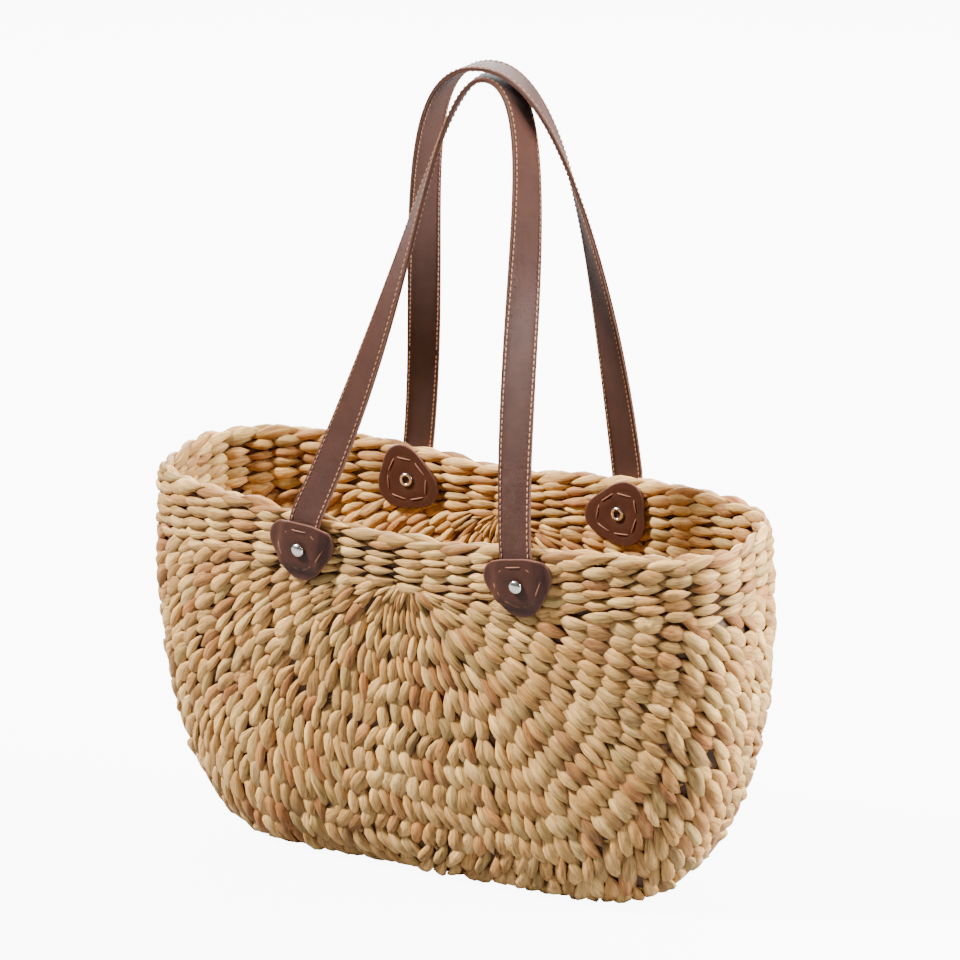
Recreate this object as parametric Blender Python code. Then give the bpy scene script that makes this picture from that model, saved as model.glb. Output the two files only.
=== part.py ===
"""Woven beach bag with two leather shoulder handles.

Metres, +Z up. The bag stands on z = 0 with its front wall towards -Y, and the origin is under its middle.
The wall is woven in two ways: level rows round the mouth, and below them rows that fan out from the middle
of each wall, over the edge, across the gusset and up to the middle of the other wall. Each handle is a flat
two-layer strap that twists a quarter turn from its foot to its top. It is sewn and riveted to the wall
between an outer and an inner leather patch.
"""

import math

import bpy
import numpy as np
from mathutils import Matrix, Vector
from mathutils.bvhtree import BVHTree

# Basket: overall shape
BELLY_HALF_WIDTH = 0.235
RIM_HALF_WIDTH = BELLY_HALF_WIDTH - 0.005
BASE_HALF_LENGTH = 0.49 * BELLY_HALF_WIDTH  # half of the straight stretch under the bag
RIM_HALF_DEPTH = 0.087
BASE_HALF_DEPTH = RIM_HALF_DEPTH - 0.011
RIM_HEIGHT = 0.281
BELLY_HEIGHT = 0.747 * RIM_HEIGHT  # where the bag is widest
RIM_DIP = 0.009  # how much lower the mouth is midway between the handles
RIM_DIP_REACH = 0.085
LOWER_CORNER_POWER = 2.3  # how square the lower corners are, seen from the front
SIDE_POWER = 3.2  # how square the wall turns at the ends of the bag
BASE_POWER = 4.2  # how square the wall turns under the bag
BASE_FLATTENING = 0.010  # how far the round bottom is pressed flat by what it stands on

# Basket: weave
WALL = 0.010
FAN_HEIGHT = RIM_HEIGHT - 0.049  # the fan rows end here and the level rows begin
FAN_HALF_SPAN = 0.0115  # half of the line that the fan rows start from
PANEL_EDGE_DEG = 47.0  # where the gusset takes over from a panel, as an angle in the wall's section
BRAID_RADIUS = 0.0048
SECTION_GAP = 0.0004  # half of the gap between two woven sections

# Leather, thread and rivets
STRAP_WIDTH = 0.024
FACE_THICKNESS = 0.0013
LINING_THICKNESS = 0.0012
LAYER_GAP = 0.0003
STRAP_STANDOFF = 0.0010  # from the wall to the strap's lining
PATCH_RADIUS = 0.025
PATCH_CORNERS = 0.11  # how much a patch's three corners stand out of a circle
PATCH_SQUASH = 0.90  # a patch's height over its width
PATCH_THICKNESS = 0.0020
PATCH_SEAT = 0.0007  # from the wall to a patch's edge
THREAD_RADIUS = 0.00045
THREAD_STITCHES = 7
STITCH_PARTS = 4
THREAD_INSET = 0.72  # the stitched line, as a share of the patch's outline
RIVET_HEAD_RADIUS = 0.00475
RIVET_HEAD_HEIGHT = 0.0025
RIVET_SHANK_RADIUS = 0.0016
RIVET_CLEARANCE = 0.0004
PEENED_RADIUS = 0.0027
PEENED_HEIGHT = 0.0008
WASHER_RADIUS = 0.0050
WASHER_THICKNESS = 0.0012

# Where the handles are fixed, and how they stand
RIVET_X = {("front", "left"): 0.083, ("front", "right"): 0.0865, ("back", "left"): 0.080, ("back", "right"): 0.091}
RIVET_HEIGHT = RIM_HEIGHT - 0.029
STRAP_END_BELOW_RIVET = 0.010
HINGE_RISE = 0.0050  # from a patch's top edge to the line where the strap bends
HINGE_GAP = 0.0040
FOLD_REACH = 0.105  # from the bend at the patch to the fold in the strap
FOLD_GAP = 0.0035
APEX_HEIGHT = {"front": RIM_HEIGHT + 0.3065, "back": RIM_HEIGHT + 0.3140}
APEX_X = {"front": 0.0235, "back": 0.0220}
# How far a leg leans to the right for each metre up, how long it keeps that lean, and how flat its end of the top is
FOOT_LEAN = {
    ("front", "left"): 0.358,
    ("front", "right"): -0.163,
    ("back", "left"): 0.217,
    ("back", "right"): 0.002,
}
FOOT_PULL = {
    ("front", "left"): 0.190,
    ("front", "right"): 0.151,
    ("back", "left"): 0.180,
    ("back", "right"): 0.190,
}
APEX_PULL = {
    ("front", "left"): 0.0425,
    ("front", "right"): 0.0520,
    ("back", "left"): 0.0709,
    ("back", "right"): 0.0550,
}
OUTER_PATCH_TURN_DEG = {
    ("front", "left"): -3.0,
    ("front", "right"): 9.0,
    ("back", "left"): 4.0,
    ("back", "right"): -6.0,
}
INNER_PATCH_TURN_DEG = {
    ("front", "left"): 12.0,
    ("front", "right"): -20.0,
    ("back", "left"): 48.0,
    ("back", "right"): -38.0,
}

# Fineness of the meshes
ROWS_ROUND = 36
PANEL_STEPS = 5
GUSSET_STEPS = 12
MOUTH_STEPS = 14
LEG_STATIONS = 8
ARCH_STATIONS = 44
PATCH_SIDES = 24
TURNED_SIDES = 16

SIDES = {"front": -1.0, "back": 1.0}
HANDS = {"left": -1.0, "right": 1.0}

STRAW = (0.70, 0.52, 0.30)
PALE_STRAW = (0.78, 0.62, 0.40)
BROWN_LEATHER = (0.125, 0.048, 0.030)
DARK_LEATHER = (0.085, 0.032, 0.024)
TAN_THREAD = (0.55, 0.33, 0.20)
NICKEL = (0.80, 0.78, 0.75)


def material(name, colour, roughness, metallic=0.0):
    """A Principled material of one colour, made once for each name."""
    found = bpy.data.materials.get(name)
    if found:
        return found
    made = bpy.data.materials.new(name)
    made.use_nodes = True
    shader = made.node_tree.nodes["Principled BSDF"]
    shader.inputs["Base Color"].default_value = (*colour, 1.0)
    shader.inputs["Roughness"].default_value = roughness
    shader.inputs["Metallic"].default_value = metallic
    return made


def signed_volume(mesh):
    """Six times the volume inside a mesh, negative when its faces point inwards."""
    total = 0.0
    for face in mesh.polygons:
        corners = [mesh.vertices[v].co for v in face.vertices]
        for k in range(1, len(corners) - 1):
            total += corners[0].dot(corners[k].cross(corners[k + 1]))
    return total


def add_mesh(name, points, faces, look, parent=None):
    """A mesh object from points and faces, in the scene, under its parent if it has one."""
    mesh = bpy.data.meshes.new(name)
    mesh.from_pydata([tuple(p) for p in points], [], faces)
    mesh.validate()
    if signed_volume(mesh) < 0:
        mesh.flip_normals()
    mesh.materials.append(look)
    mesh.shade_smooth()
    mesh.set_sharp_from_angle(angle=math.radians(40))
    made = bpy.data.objects.new(name, mesh)
    bpy.context.scene.collection.objects.link(made)
    made.parent = parent
    return made


def add_tube(name, points, radius, sides_level, look, parent=None):
    """A closed ring of round section through the points, as a bevelled curve."""
    curve = bpy.data.curves.new(name, "CURVE")
    curve.dimensions = "3D"
    curve.bevel_depth = radius
    curve.bevel_resolution = sides_level
    spline = curve.splines.new("POLY")
    spline.points.add(len(points) - 1)
    for spot, p in zip(spline.points, points):
        spot.co = (*p, 1.0)
    spline.use_cyclic_u = True
    curve.materials.append(look)
    made = bpy.data.objects.new(name, curve)
    bpy.context.scene.collection.objects.link(made)
    made.parent = parent
    return made


def smooth_step(t):
    """0 to 1 with level ends."""
    t = min(1.0, max(0.0, t))
    return t * t * (3.0 - 2.0 * t)


# ---------------------------------------------------------------- the basket's outer surface


def half_width(z):
    """Half of the bag's width at a height, at the middle of its end."""
    if z >= BELLY_HEIGHT:
        share = (z - BELLY_HEIGHT) / (RIM_HEIGHT - BELLY_HEIGHT)
        return BELLY_HALF_WIDTH + (RIM_HALF_WIDTH - BELLY_HALF_WIDTH) * share
    drop = (BELLY_HEIGHT - z) / (BELLY_HEIGHT + BASE_FLATTENING)
    bulge = max(0.0, 1.0 - drop**LOWER_CORNER_POWER) ** (1.0 / LOWER_CORNER_POWER)
    return BASE_HALF_LENGTH + (BELLY_HALF_WIDTH - BASE_HALF_LENGTH) * bulge


def half_depth(z):
    """Half of the bag's depth at a height, in the middle of its length."""
    return BASE_HALF_DEPTH + (RIM_HALF_DEPTH - BASE_HALF_DEPTH) * max(0.0, z) / RIM_HEIGHT


def rim_height(x):
    """The height of the mouth's top edge, which dips between the handles."""
    return RIM_HEIGHT - RIM_DIP * math.exp(-((x / RIM_DIP_REACH) ** 2))


def section(angle, power):
    """A point on the wall's squared-off section: its share out from the middle, and its share of the depth."""
    c, s = math.cos(angle), math.sin(angle)
    reach = (abs(c) ** power + abs(s) ** power) ** (-1.0 / power)
    return reach * c, reach * s


def outline(count):
    """Evenly spaced points, as (x, z), down one end of the bag, along its bottom and up the other end."""
    bottom = -BASE_FLATTENING
    half = [(0.0, bottom), (BASE_HALF_LENGTH, bottom)]
    for step in range(1, 41):
        turn = math.radians(90 * step / 40)
        half.append(
            (
                BASE_HALF_LENGTH
                + (BELLY_HALF_WIDTH - BASE_HALF_LENGTH) * math.sin(turn) ** (2 / LOWER_CORNER_POWER),
                BELLY_HEIGHT - (BELLY_HEIGHT - bottom) * max(0.0, math.cos(turn)) ** (2 / LOWER_CORNER_POWER),
            )
        )
    half.append((half_width(FAN_HEIGHT), FAN_HEIGHT))
    whole = np.array([(-x, z) for x, z in reversed(half)] + half[1:])
    along = np.concatenate([[0.0], np.cumsum(np.linalg.norm(np.diff(whole, axis=0), axis=1))])
    at = np.linspace(0.0, along[-1], count + 1)
    return np.stack([np.interp(at, along, whole[:, k]) for k in range(2)], axis=1)


OUTLINE = outline(ROWS_ROUND * 8)


def pressed_flat(z):
    """A height once the bag stands on the ground: the bottom becomes flat, with a soft turn round it."""
    soft = 0.7 * BASE_FLATTENING
    rest = (math.hypot(0.6 * BASE_FLATTENING, soft) - 0.6 * BASE_FLATTENING) / 2
    lifted = (z + math.hypot(z, soft)) / 2 - rest
    return max(0.0, lifted) if z < 4 * BASE_FLATTENING else z + (lifted - z) * math.exp(1 - z / (4 * BASE_FLATTENING))


def fan_point(row, angle):
    """A point of the outer surface below the level rows: row runs 0 to 1 round the outline, angle across it."""
    at = row * (len(OUTLINE) - 1)
    low = min(int(at), len(OUTLINE) - 2)
    ox, oz = OUTLINE[low] + (OUTLINE[low + 1] - OUTLINE[low]) * (at - low)
    cx = FAN_HALF_SPAN * (2.0 * row - 1.0)
    sideways = min(1.0, abs(ox - cx) / (BELLY_HALF_WIDTH - FAN_HALF_SPAN))
    out, deep = section(angle, BASE_POWER + (SIDE_POWER - BASE_POWER) * sideways**2)
    z = FAN_HEIGHT + (oz - FAN_HEIGHT) * out
    return Vector((cx + (ox - cx) * out, half_depth(z) * deep, pressed_flat(z)))


def mouth_point(turn, height_share):
    """A point of the outer surface in the level rows: turn runs 0 to 4 round the mouth, one for each quarter."""
    quarter, part = divmod(turn, 1.0)
    quarter = int(quarter) % 4
    angle = math.radians(-90 + 90 * part) if quarter in (0, 2) else math.radians(90 * part)
    end = 1.0 if quarter in (0, 1) else -1.0
    out, deep = section(angle, SIDE_POWER)
    x_low = FAN_HALF_SPAN + (half_width(FAN_HEIGHT) - FAN_HALF_SPAN) * out
    top = rim_height(x_low) - 2 * BRAID_RADIUS
    z = FAN_HEIGHT + (top - FAN_HEIGHT) * height_share
    x = FAN_HALF_SPAN + (half_width(z) - FAN_HALF_SPAN) * out
    return Vector((end * x, end * half_depth(z) * deep, z))


def normal_at(surface, a, b, step=1e-3):
    """The surface's outward normal at its two parameters, from points close by."""
    along = surface(min(1.0, a + step), b) - surface(max(0.0, a - step), b)
    across = surface(a, b + step) - surface(a, b - step)
    return across.cross(along).normalized()


def wall_depth(x, z):
    """How far the wall's outer surface is from the bag's middle plane, near the mouth."""
    out = max(0.0, abs(x) - FAN_HALF_SPAN) / (half_width(z) - FAN_HALF_SPAN)
    return half_depth(z) * max(0.0, 1.0 - out**SIDE_POWER) ** (1.0 / SIDE_POWER)


def rivet_frame(side, hand):
    """A rivet's place on the wall's outer surface: level along the wall, up it, out of it, and where it is."""
    x, step = RIVET_X[side, hand], 1e-3
    run = (wall_depth(x + step, RIVET_HEIGHT) - wall_depth(x - step, RIVET_HEIGHT)) / (2 * step)
    slope = (wall_depth(x, RIVET_HEIGHT + step) - wall_depth(x, RIVET_HEIGHT - step)) / (2 * step)
    out = Vector((-run * HANDS[hand], SIDES[side], -slope)).normalized()
    level = Vector((0, 0, 1)).cross(out).normalized()
    return level, out.cross(level), out, Vector((HANDS[hand] * x, SIDES[side] * wall_depth(x, RIVET_HEIGHT), RIVET_HEIGHT))


# ---------------------------------------------------------------- woven sections


def shell(name, outer, inner, look, closed=False):
    """A wall from two grids of points of the same size. closed joins the last column to the first."""
    rows, columns = len(outer), len(outer[0])
    points = [p for grid in (outer, inner) for row in grid for p in row]
    inside = rows * columns
    faces = []
    for r in range(rows - 1):
        for c in range(columns if closed else columns - 1):
            a, b = r * columns + c, r * columns + (c + 1) % columns
            d, e = a + columns, b + columns
            faces.append((a, b, e, d))
            faces.append((inside + a, inside + d, inside + e, inside + b))
    edges = [(r * columns, (r + 1) * columns, False) for r in range(rows - 1)] if not closed else []
    if not closed:
        edges += [(r * columns + columns - 1, (r + 1) * columns + columns - 1, True) for r in range(rows - 1)]
    last = (rows - 1) * columns
    for c in range(columns if closed else columns - 1):
        nxt = (c + 1) % columns
        edges.append((c, nxt, True))
        edges.append((last + c, last + nxt, False))
    for a, b, turned in edges:
        face = (a, b, inside + b, inside + a)
        faces.append(face[::-1] if turned else face)
    return add_mesh(name, points, faces, look)


def fan_section(name, first_deg, last_deg, steps, look):
    """One woven section below the level rows, between two angles across the wall."""
    outer, inner = [], []
    for k in range(steps + 1):
        angle = math.radians(first_deg + (last_deg - first_deg) * k / steps)
        outer.append([])
        inner.append([])
        for r in range(ROWS_ROUND + 1):
            row = r / ROWS_ROUND
            p, n = fan_point(row, angle), normal_at(fan_point, row, angle)
            q = p - n * WALL
            if r in (0, ROWS_ROUND) or k == 0 and first_deg == -90.0 or k == steps and last_deg == 90.0:
                q.z = p.z
            if p.z > FAN_HEIGHT - 2 * SECTION_GAP:
                p.z = q.z = FAN_HEIGHT - SECTION_GAP
            q.z = min(q.z, FAN_HEIGHT - SECTION_GAP)
            outer[-1].append(p)
            inner[-1].append(q)
    return shell(name, outer, inner, look)


def build_fan(look):
    """The two panels and the gusset between them."""
    gap_deg = math.degrees(SECTION_GAP / (2 * RIM_HALF_DEPTH))
    fan_section("front_panel", -90.0, -PANEL_EDGE_DEG - gap_deg, PANEL_STEPS, look)
    fan_section("gusset", -PANEL_EDGE_DEG + gap_deg, PANEL_EDGE_DEG - gap_deg, GUSSET_STEPS, look)
    fan_section("back_panel", PANEL_EDGE_DEG + gap_deg, 90.0, PANEL_STEPS, look)


def mouth_loop(height_share, inward):
    """A closed loop of points round the mouth, moved inward from the outer surface."""
    loop = []
    for k in range(4 * MOUTH_STEPS):
        turn = k / MOUTH_STEPS
        step = 0.02
        along = mouth_point(turn + step, height_share) - mouth_point((turn - step) % 4.0, height_share)
        along.z = 0.0
        loop.append(mouth_point(turn, height_share) + along.normalized().cross(Vector((0, 0, -1))) * inward)
    return loop


def build_mouth(look, braid_look, cutters):
    """The level rows round the mouth, with the rivets' holes, and the braid that ends them."""
    outer, inner = [], []
    for share in (0.0, 0.5, 1.0):
        for grid, inward in ((outer, 0.0), (inner, WALL)):
            loop = mouth_loop(share, inward)
            for p in loop:
                p.z += SECTION_GAP * (1.0 - 2.0 * share)
            grid.append(loop)
    band = shell("rim_band", outer, inner, look, closed=True)
    for cutter in cutters:
        cut(band, cutter)
    centre = mouth_loop(1.0, WALL / 2)
    for p in centre:
        p.z += BRAID_RADIUS
    add_tube("rim_braid", centre, BRAID_RADIUS, 2, braid_look)


# ---------------------------------------------------------------- patches, threads and rivets


def cut(piece, cutter):
    """Takes the cutter's shape out of the piece."""
    hole = piece.modifiers.new("hole_" + cutter.name, "BOOLEAN")
    hole.operation = "DIFFERENCE"
    hole.object = cutter
    hole.solver = "EXACT"


def turned(name, profile, look, parent, ring=False):
    """A turned solid about its local Z. The profile is (radius, height) from top to bottom, or round a ring."""
    points, faces = [], []
    for radius, height in profile:
        for k in range(TURNED_SIDES):
            a = 2 * math.pi * k / TURNED_SIDES
            points.append((radius * math.cos(a), radius * math.sin(a), height))
    levels = len(profile)
    for level in range(levels if ring else levels - 1):
        for k in range(TURNED_SIDES):
            nxt = (k + 1) % TURNED_SIDES
            low = (level + 1) % levels
            faces.append(
                (
                    level * TURNED_SIDES + k,
                    low * TURNED_SIDES + k,
                    low * TURNED_SIDES + nxt,
                    level * TURNED_SIDES + nxt,
                )
            )
    if not ring:
        faces.append(tuple(range(TURNED_SIDES)))
        faces.append(tuple((levels - 1) * TURNED_SIDES + k for k in reversed(range(TURNED_SIDES))))
    return add_mesh(name, points, faces, look, parent)


def patch_outline(angle, share=1.0):
    """A point of a patch's outline about its rivet: a rounded triangle with a corner down."""
    r = share * PATCH_RADIUS * (1 + PATCH_CORNERS * math.cos(3 * (angle + math.pi / 2)))
    return Vector((r * math.cos(angle), PATCH_SQUASH * r * math.sin(angle)))


PATCH_TOP = patch_outline(math.pi / 2).y
STRAP_MIDDLE = STRAP_STANDOFF + LINING_THICKNESS + LAYER_GAP / 2
STRAP_FRONT = STRAP_MIDDLE + LAYER_GAP / 2 + FACE_THICKNESS


def outer_patch_back(x, y, tilt):
    """How far an outer patch's back stands off the wall: it rises to pass over the end of the strap."""
    raise_by = STRAP_FRONT + 2 * LAYER_GAP - PATCH_SEAT
    clear = STRAP_WIDTH / 2 + 0.0045
    across = 1.0 - smooth_step((abs(x - tilt * max(0.0, y)) - clear) / 0.007)
    along = 1.0 - smooth_step((-STRAP_END_BELOW_RIVET - 0.0035 - y) / 0.007)
    return PATCH_SEAT + raise_by * across * along


def patch(name, back, look, parent, thickness, turn=0.0):
    """A leather patch: rings of its outline round a flat middle, with its back at the height that back gives."""
    shares = (0.28, 0.46, 0.62, 0.78, 1.0)
    faces, front, rear = [], [], []
    for share in shares:
        for k in range(PATCH_SIDES):
            spot = patch_outline(2 * math.pi * k / PATCH_SIDES, share)
            spot.rotate(Matrix.Rotation(turn, 2))
            height = back(spot.x, spot.y)
            rear.append((spot.x, spot.y, height))
            front.append((spot.x, spot.y, height + thickness))
    rings, inside = len(shares), len(front)
    for ring in range(rings - 1):
        for k in range(PATCH_SIDES):
            nxt = (k + 1) % PATCH_SIDES
            a, b = ring * PATCH_SIDES + k, ring * PATCH_SIDES + nxt
            d, e = a + PATCH_SIDES, b + PATCH_SIDES
            faces += [(a, d, e, b), (inside + a, inside + b, inside + e, inside + d)]
    edge = (rings - 1) * PATCH_SIDES
    for k in range(PATCH_SIDES):
        nxt = (k + 1) % PATCH_SIDES
        faces.append((edge + k, inside + edge + k, inside + edge + nxt, edge + nxt))
    faces.append(tuple(range(PATCH_SIDES)))
    faces.append(tuple(inside + k for k in reversed(range(PATCH_SIDES))))
    return add_mesh(name, front + rear, faces, look, parent)


def thread_loop(patch_mesh, turn, outward):
    """The stitched line on a patch: straight stitches between points of its outline, lying on its face."""
    face = BVHTree.FromPolygons([v.co for v in patch_mesh.vertices], [f.vertices for f in patch_mesh.polygons])
    corners = []
    for k in range(THREAD_STITCHES):
        spot = patch_outline(math.pi / 2 + math.pi * (2 * k + 1) / THREAD_STITCHES, THREAD_INSET)
        spot.rotate(Matrix.Rotation(turn, 2))
        corners.append(spot)
    loop = []
    for k, spot in enumerate(corners):
        for part in range(STITCH_PARTS):
            p = spot.lerp(corners[(k + 1) % THREAD_STITCHES], part / STITCH_PARTS)
            hit = face.ray_cast(Vector((p.x, p.y, outward)), Vector((0, 0, -outward)))[0]
            loop.append((p.x, p.y, hit.z + math.copysign(THREAD_RADIUS + 3 * LAYER_GAP, outward)))
    return loop


def strap_end(name, low, high, tilt, look, parent):
    """One layer of the strap's end, which stays under the patch, with its rivet hole left to a cutter."""
    top = PATCH_TOP + HINGE_RISE - HINGE_GAP
    half = STRAP_WIDTH / 2
    corners = []
    for x, y in ((-half, -STRAP_END_BELOW_RIVET), (half, -STRAP_END_BELOW_RIVET), (half, top), (-half, top)):
        corners.append((x + tilt * (y if y > 0 else 0.0), y))
    points = [(x, y, z) for z in (low, high) for x, y in corners]
    faces = [(3, 2, 1, 0), (4, 5, 6, 7)] + [(k, (k + 1) % 4, 4 + (k + 1) % 4, 4 + k) for k in range(4)]
    return add_mesh(name, points, faces, look, parent)


def build_attachment(side, hand, looks):
    """All that fixes one foot of a handle to the wall, built about the rivet's place on the wall's surface.

    Local X runs along the wall, Y up it and Z out of it. Returns the cutter for the rivet's hole.
    """
    name = f"{side}_{hand}_"
    level, up, out, spot = rivet_frame(side, hand)
    place = bpy.data.objects.new(name + "place", None)
    bpy.context.scene.collection.objects.link(place)
    place.matrix_world = Matrix.Translation(spot) @ Matrix((level, up, out)).transposed().to_4x4()

    def wall_rise(x, y):
        """How far the curved wall stands out of the rivet's own level."""
        p = spot + level * x + up * y
        return (wall_depth(p.x, p.z) - abs(p.y)) * abs(out.y)

    inner_back = -WALL - PATCH_SEAT
    outer_front = STRAP_FRONT + 2 * LAYER_GAP + PATCH_THICKNESS
    hole_radius = RIVET_SHANK_RADIUS + RIVET_CLEARANCE
    drill_reach = 0.006
    drill = turned(
        name + "drill",
        [(hole_radius, outer_front + drill_reach), (hole_radius, inner_back - PATCH_THICKNESS - drill_reach)],
        looks["metal"],
        place,
    )
    drill.hide_render = True
    drill.display_type = "WIRE"

    tilt = leg_tilt(side, hand) * (1 if level.x > 0 else -1)
    outer_turn = math.radians(OUTER_PATCH_TURN_DEG[side, hand])
    inner_turn = math.radians(INNER_PATCH_TURN_DEG[side, hand])
    outer_patch = patch(
        name + "outer_patch",
        lambda x, y: wall_rise(x, y) + outer_patch_back(x, y, tilt),
        looks["patch"],
        place,
        PATCH_THICKNESS,
        outer_turn,
    )
    inner_patch = patch(
        name + "inner_patch",
        lambda x, y: wall_rise(x, y) + inner_back - PATCH_THICKNESS,
        looks["patch"],
        place,
        PATCH_THICKNESS,
        inner_turn,
    )
    stack = STRAP_MIDDLE - LAYER_GAP / 2 - LINING_THICKNESS, STRAP_MIDDLE - LAYER_GAP / 2
    lining = strap_end(name + "strap_end_lining", *stack, tilt, looks["lining"], place)
    face = strap_end(name + "strap_end_face", STRAP_MIDDLE + LAYER_GAP / 2, STRAP_FRONT, tilt, looks["strap"], place)
    add_tube(
        name + "outer_thread", thread_loop(outer_patch.data, outer_turn, 1.0), THREAD_RADIUS, 0, looks["thread"], place
    )
    add_tube(
        name + "inner_thread", thread_loop(inner_patch.data, inner_turn, -1.0), THREAD_RADIUS, 0, looks["thread"], place
    )
    for piece in (outer_patch, inner_patch, lining, face):
        cut(piece, drill)

    head = outer_front + LAYER_GAP
    washer_top = inner_back - PATCH_THICKNESS - LAYER_GAP
    peen = washer_top - WASHER_THICKNESS - LAYER_GAP
    dome = [
        (RIVET_HEAD_RADIUS * math.sin(math.radians(a)), head + RIVET_HEAD_HEIGHT * math.cos(math.radians(a)))
        for a in (18, 40, 62, 80)
    ]
    profile = dome + [
        (RIVET_HEAD_RADIUS, head),
        (RIVET_SHANK_RADIUS, head),
        (RIVET_SHANK_RADIUS, peen),
        (PEENED_RADIUS, peen),
        (PEENED_RADIUS, peen - PEENED_HEIGHT / 2),
        (PEENED_RADIUS * 0.8, peen - PEENED_HEIGHT),
    ]
    turned(name + "rivet", profile, looks["metal"], place)
    bore = RIVET_SHANK_RADIUS + RIVET_CLEARANCE
    ring = [
        (bore, washer_top),
        (WASHER_RADIUS, washer_top),
        (WASHER_RADIUS, washer_top - WASHER_THICKNESS / 2),
        (WASHER_RADIUS - 0.0008, washer_top - WASHER_THICKNESS),
        (bore, washer_top - WASHER_THICKNESS),
    ]
    turned(name + "washer", ring, looks["metal"], place, ring=True)
    return drill


# ---------------------------------------------------------------- handles


def leg_tilt(side, hand):
    """How far the strap's end under a patch leans to the right for each metre up, on its way to the leg."""
    return FOOT_LEAN[side, hand] / 2


def hinge_line(side):
    """A point in the middle of the line, along X, where a handle bends at its two patches."""
    ends = []
    for hand in HANDS:
        level, up, out, spot = rivet_frame(side, hand)
        ends.append(spot + up * (PATCH_TOP + HINGE_RISE) + out * STRAP_MIDDLE)
    return Vector((0.0, (ends[0].y + ends[1].y) / 2, (ends[0].z + ends[1].z) / 2))


def bezier(ends, t):
    """A point of a cubic curve given by its four control points."""
    a, b, c, d = ends
    s = 1.0 - t
    return s**3 * a + 3 * s * s * t * b + 3 * s * t * t * c + t**3 * d


def handle_line(side, count=240):
    """A handle's middle line from its left foot to its right, as (x, distance up its leaning plane)."""
    hinge = hinge_line(side)
    apex = Vector((APEX_X[side], math.hypot(APEX_HEIGHT[side] - hinge.z, hinge.y)))
    legs = {}
    for hand, way in HANDS.items():
        foot = Vector((way * RIVET_X[side, hand] + leg_tilt(side, hand) * (PATCH_TOP + HINGE_RISE), 0.0))
        up = Vector((FOOT_LEAN[side, hand], 1.0)).normalized() * FOOT_PULL[side, hand]
        legs[hand] = (foot, foot + up, apex + Vector((way * APEX_PULL[side, hand], 0.0)), apex)
    first, second = legs["left"], legs["right"][::-1]
    line = [bezier(first, k / count) for k in range(count)]
    line += [bezier(second, k / count) for k in range(count + 1)]
    return line


def stations(side, low=0.0, high=None, hand=None, count=10):
    """Places along a handle between two distances up its plane, with the strap's face and edge directions.

    With a hand, they run up that leg. Without one, they run from the left leg over the top to the right leg.
    """
    line = handle_line(side)
    xs, ss = np.array([p.x for p in line]), np.array([p.y for p in line])
    lengths = np.concatenate([[0.0], np.cumsum(np.hypot(np.diff(xs), np.diff(ss)))])
    apex = int(np.argmax(ss))
    half = lengths[apex]
    rest = lengths[-1] - half
    left_low = np.interp(low, ss[: apex + 1], lengths[: apex + 1])
    right_low = np.interp(-low, -ss[apex:], lengths[apex:])
    if hand:
        left_high = np.interp(high, ss[: apex + 1], lengths[: apex + 1])
        right_high = np.interp(-high, -ss[apex:], lengths[apex:])
        first, last = (left_low, left_high) if hand == "left" else (right_high, right_low)
    else:
        first, last = left_low, right_low
    hinge = hinge_line(side)
    slope = math.atan2(abs(hinge.y), APEX_HEIGHT[side] - hinge.z)
    inward = -SIDES[side]
    rise = Vector((0.0, inward * math.sin(slope), math.cos(slope)))
    plane_out = Vector((0.0, -inward * math.cos(slope), math.sin(slope)))
    found = []
    for at in np.linspace(first, last, count):
        x, s = np.interp(at, lengths, xs), np.interp(at, lengths, ss)
        ahead, behind = min(at + 1e-3, lengths[-1]), max(at - 1e-3, 0.0)
        run = Vector(
            (
                np.interp(ahead, lengths, xs) - np.interp(behind, lengths, xs),
                np.interp(ahead, lengths, ss) - np.interp(behind, lengths, ss),
            )
        ).normalized()
        along = Vector((run.x, 0, 0)) + rise * run.y
        round_out = Vector((-run.y, 0, 0)) + rise * run.x
        climbed = at / half if at < half else (lengths[-1] - at) / rest
        # The strap turns until it lies level at the top, a little less than square to its leaning plane.
        twist = (math.pi / 2 - slope) * (0.25 * climbed + 0.75 * smooth_step(climbed))
        face = plane_out * math.cos(twist) + round_out * math.sin(twist)
        found.append((Vector((x, hinge.y, hinge.z)) + rise * s, along, face, along.cross(face), rise, s))
    return found, hinge


def strap_layer(name, spots, hinge, low, high, look):
    """One layer of a stretch of strap. Its two ends are cut level, in line with the bends next to them."""
    points, faces = [], []
    for k, (middle, along, face, edge, rise, s) in enumerate(spots):
        for across, out in ((-1, low), (1, low), (1, high), (-1, high)):
            p = middle + edge * (across * STRAP_WIDTH / 2) + face * out
            if k in (0, len(spots) - 1):
                p += along * ((s - (p - hinge).dot(rise)) / along.dot(rise))
            points.append(p)
    for k in range(len(spots) - 1):
        for c in range(4):
            a, b = 4 * k + c, 4 * k + (c + 1) % 4
            # Both wide faces are split on the same diagonal, so that a twisted layer keeps its gap to the next one.
            if c == 2:
                faces += [(a, b, a + 4), (b, b + 4, a + 4)]
            else:
                faces += [(a, b, b + 4), (a, b + 4, a + 4)]
    last = 4 * (len(spots) - 1)
    faces += [(3, 2, 1, 0), (last, last + 1, last + 2, last + 3)]
    return add_mesh(name, points, faces, look)


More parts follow.
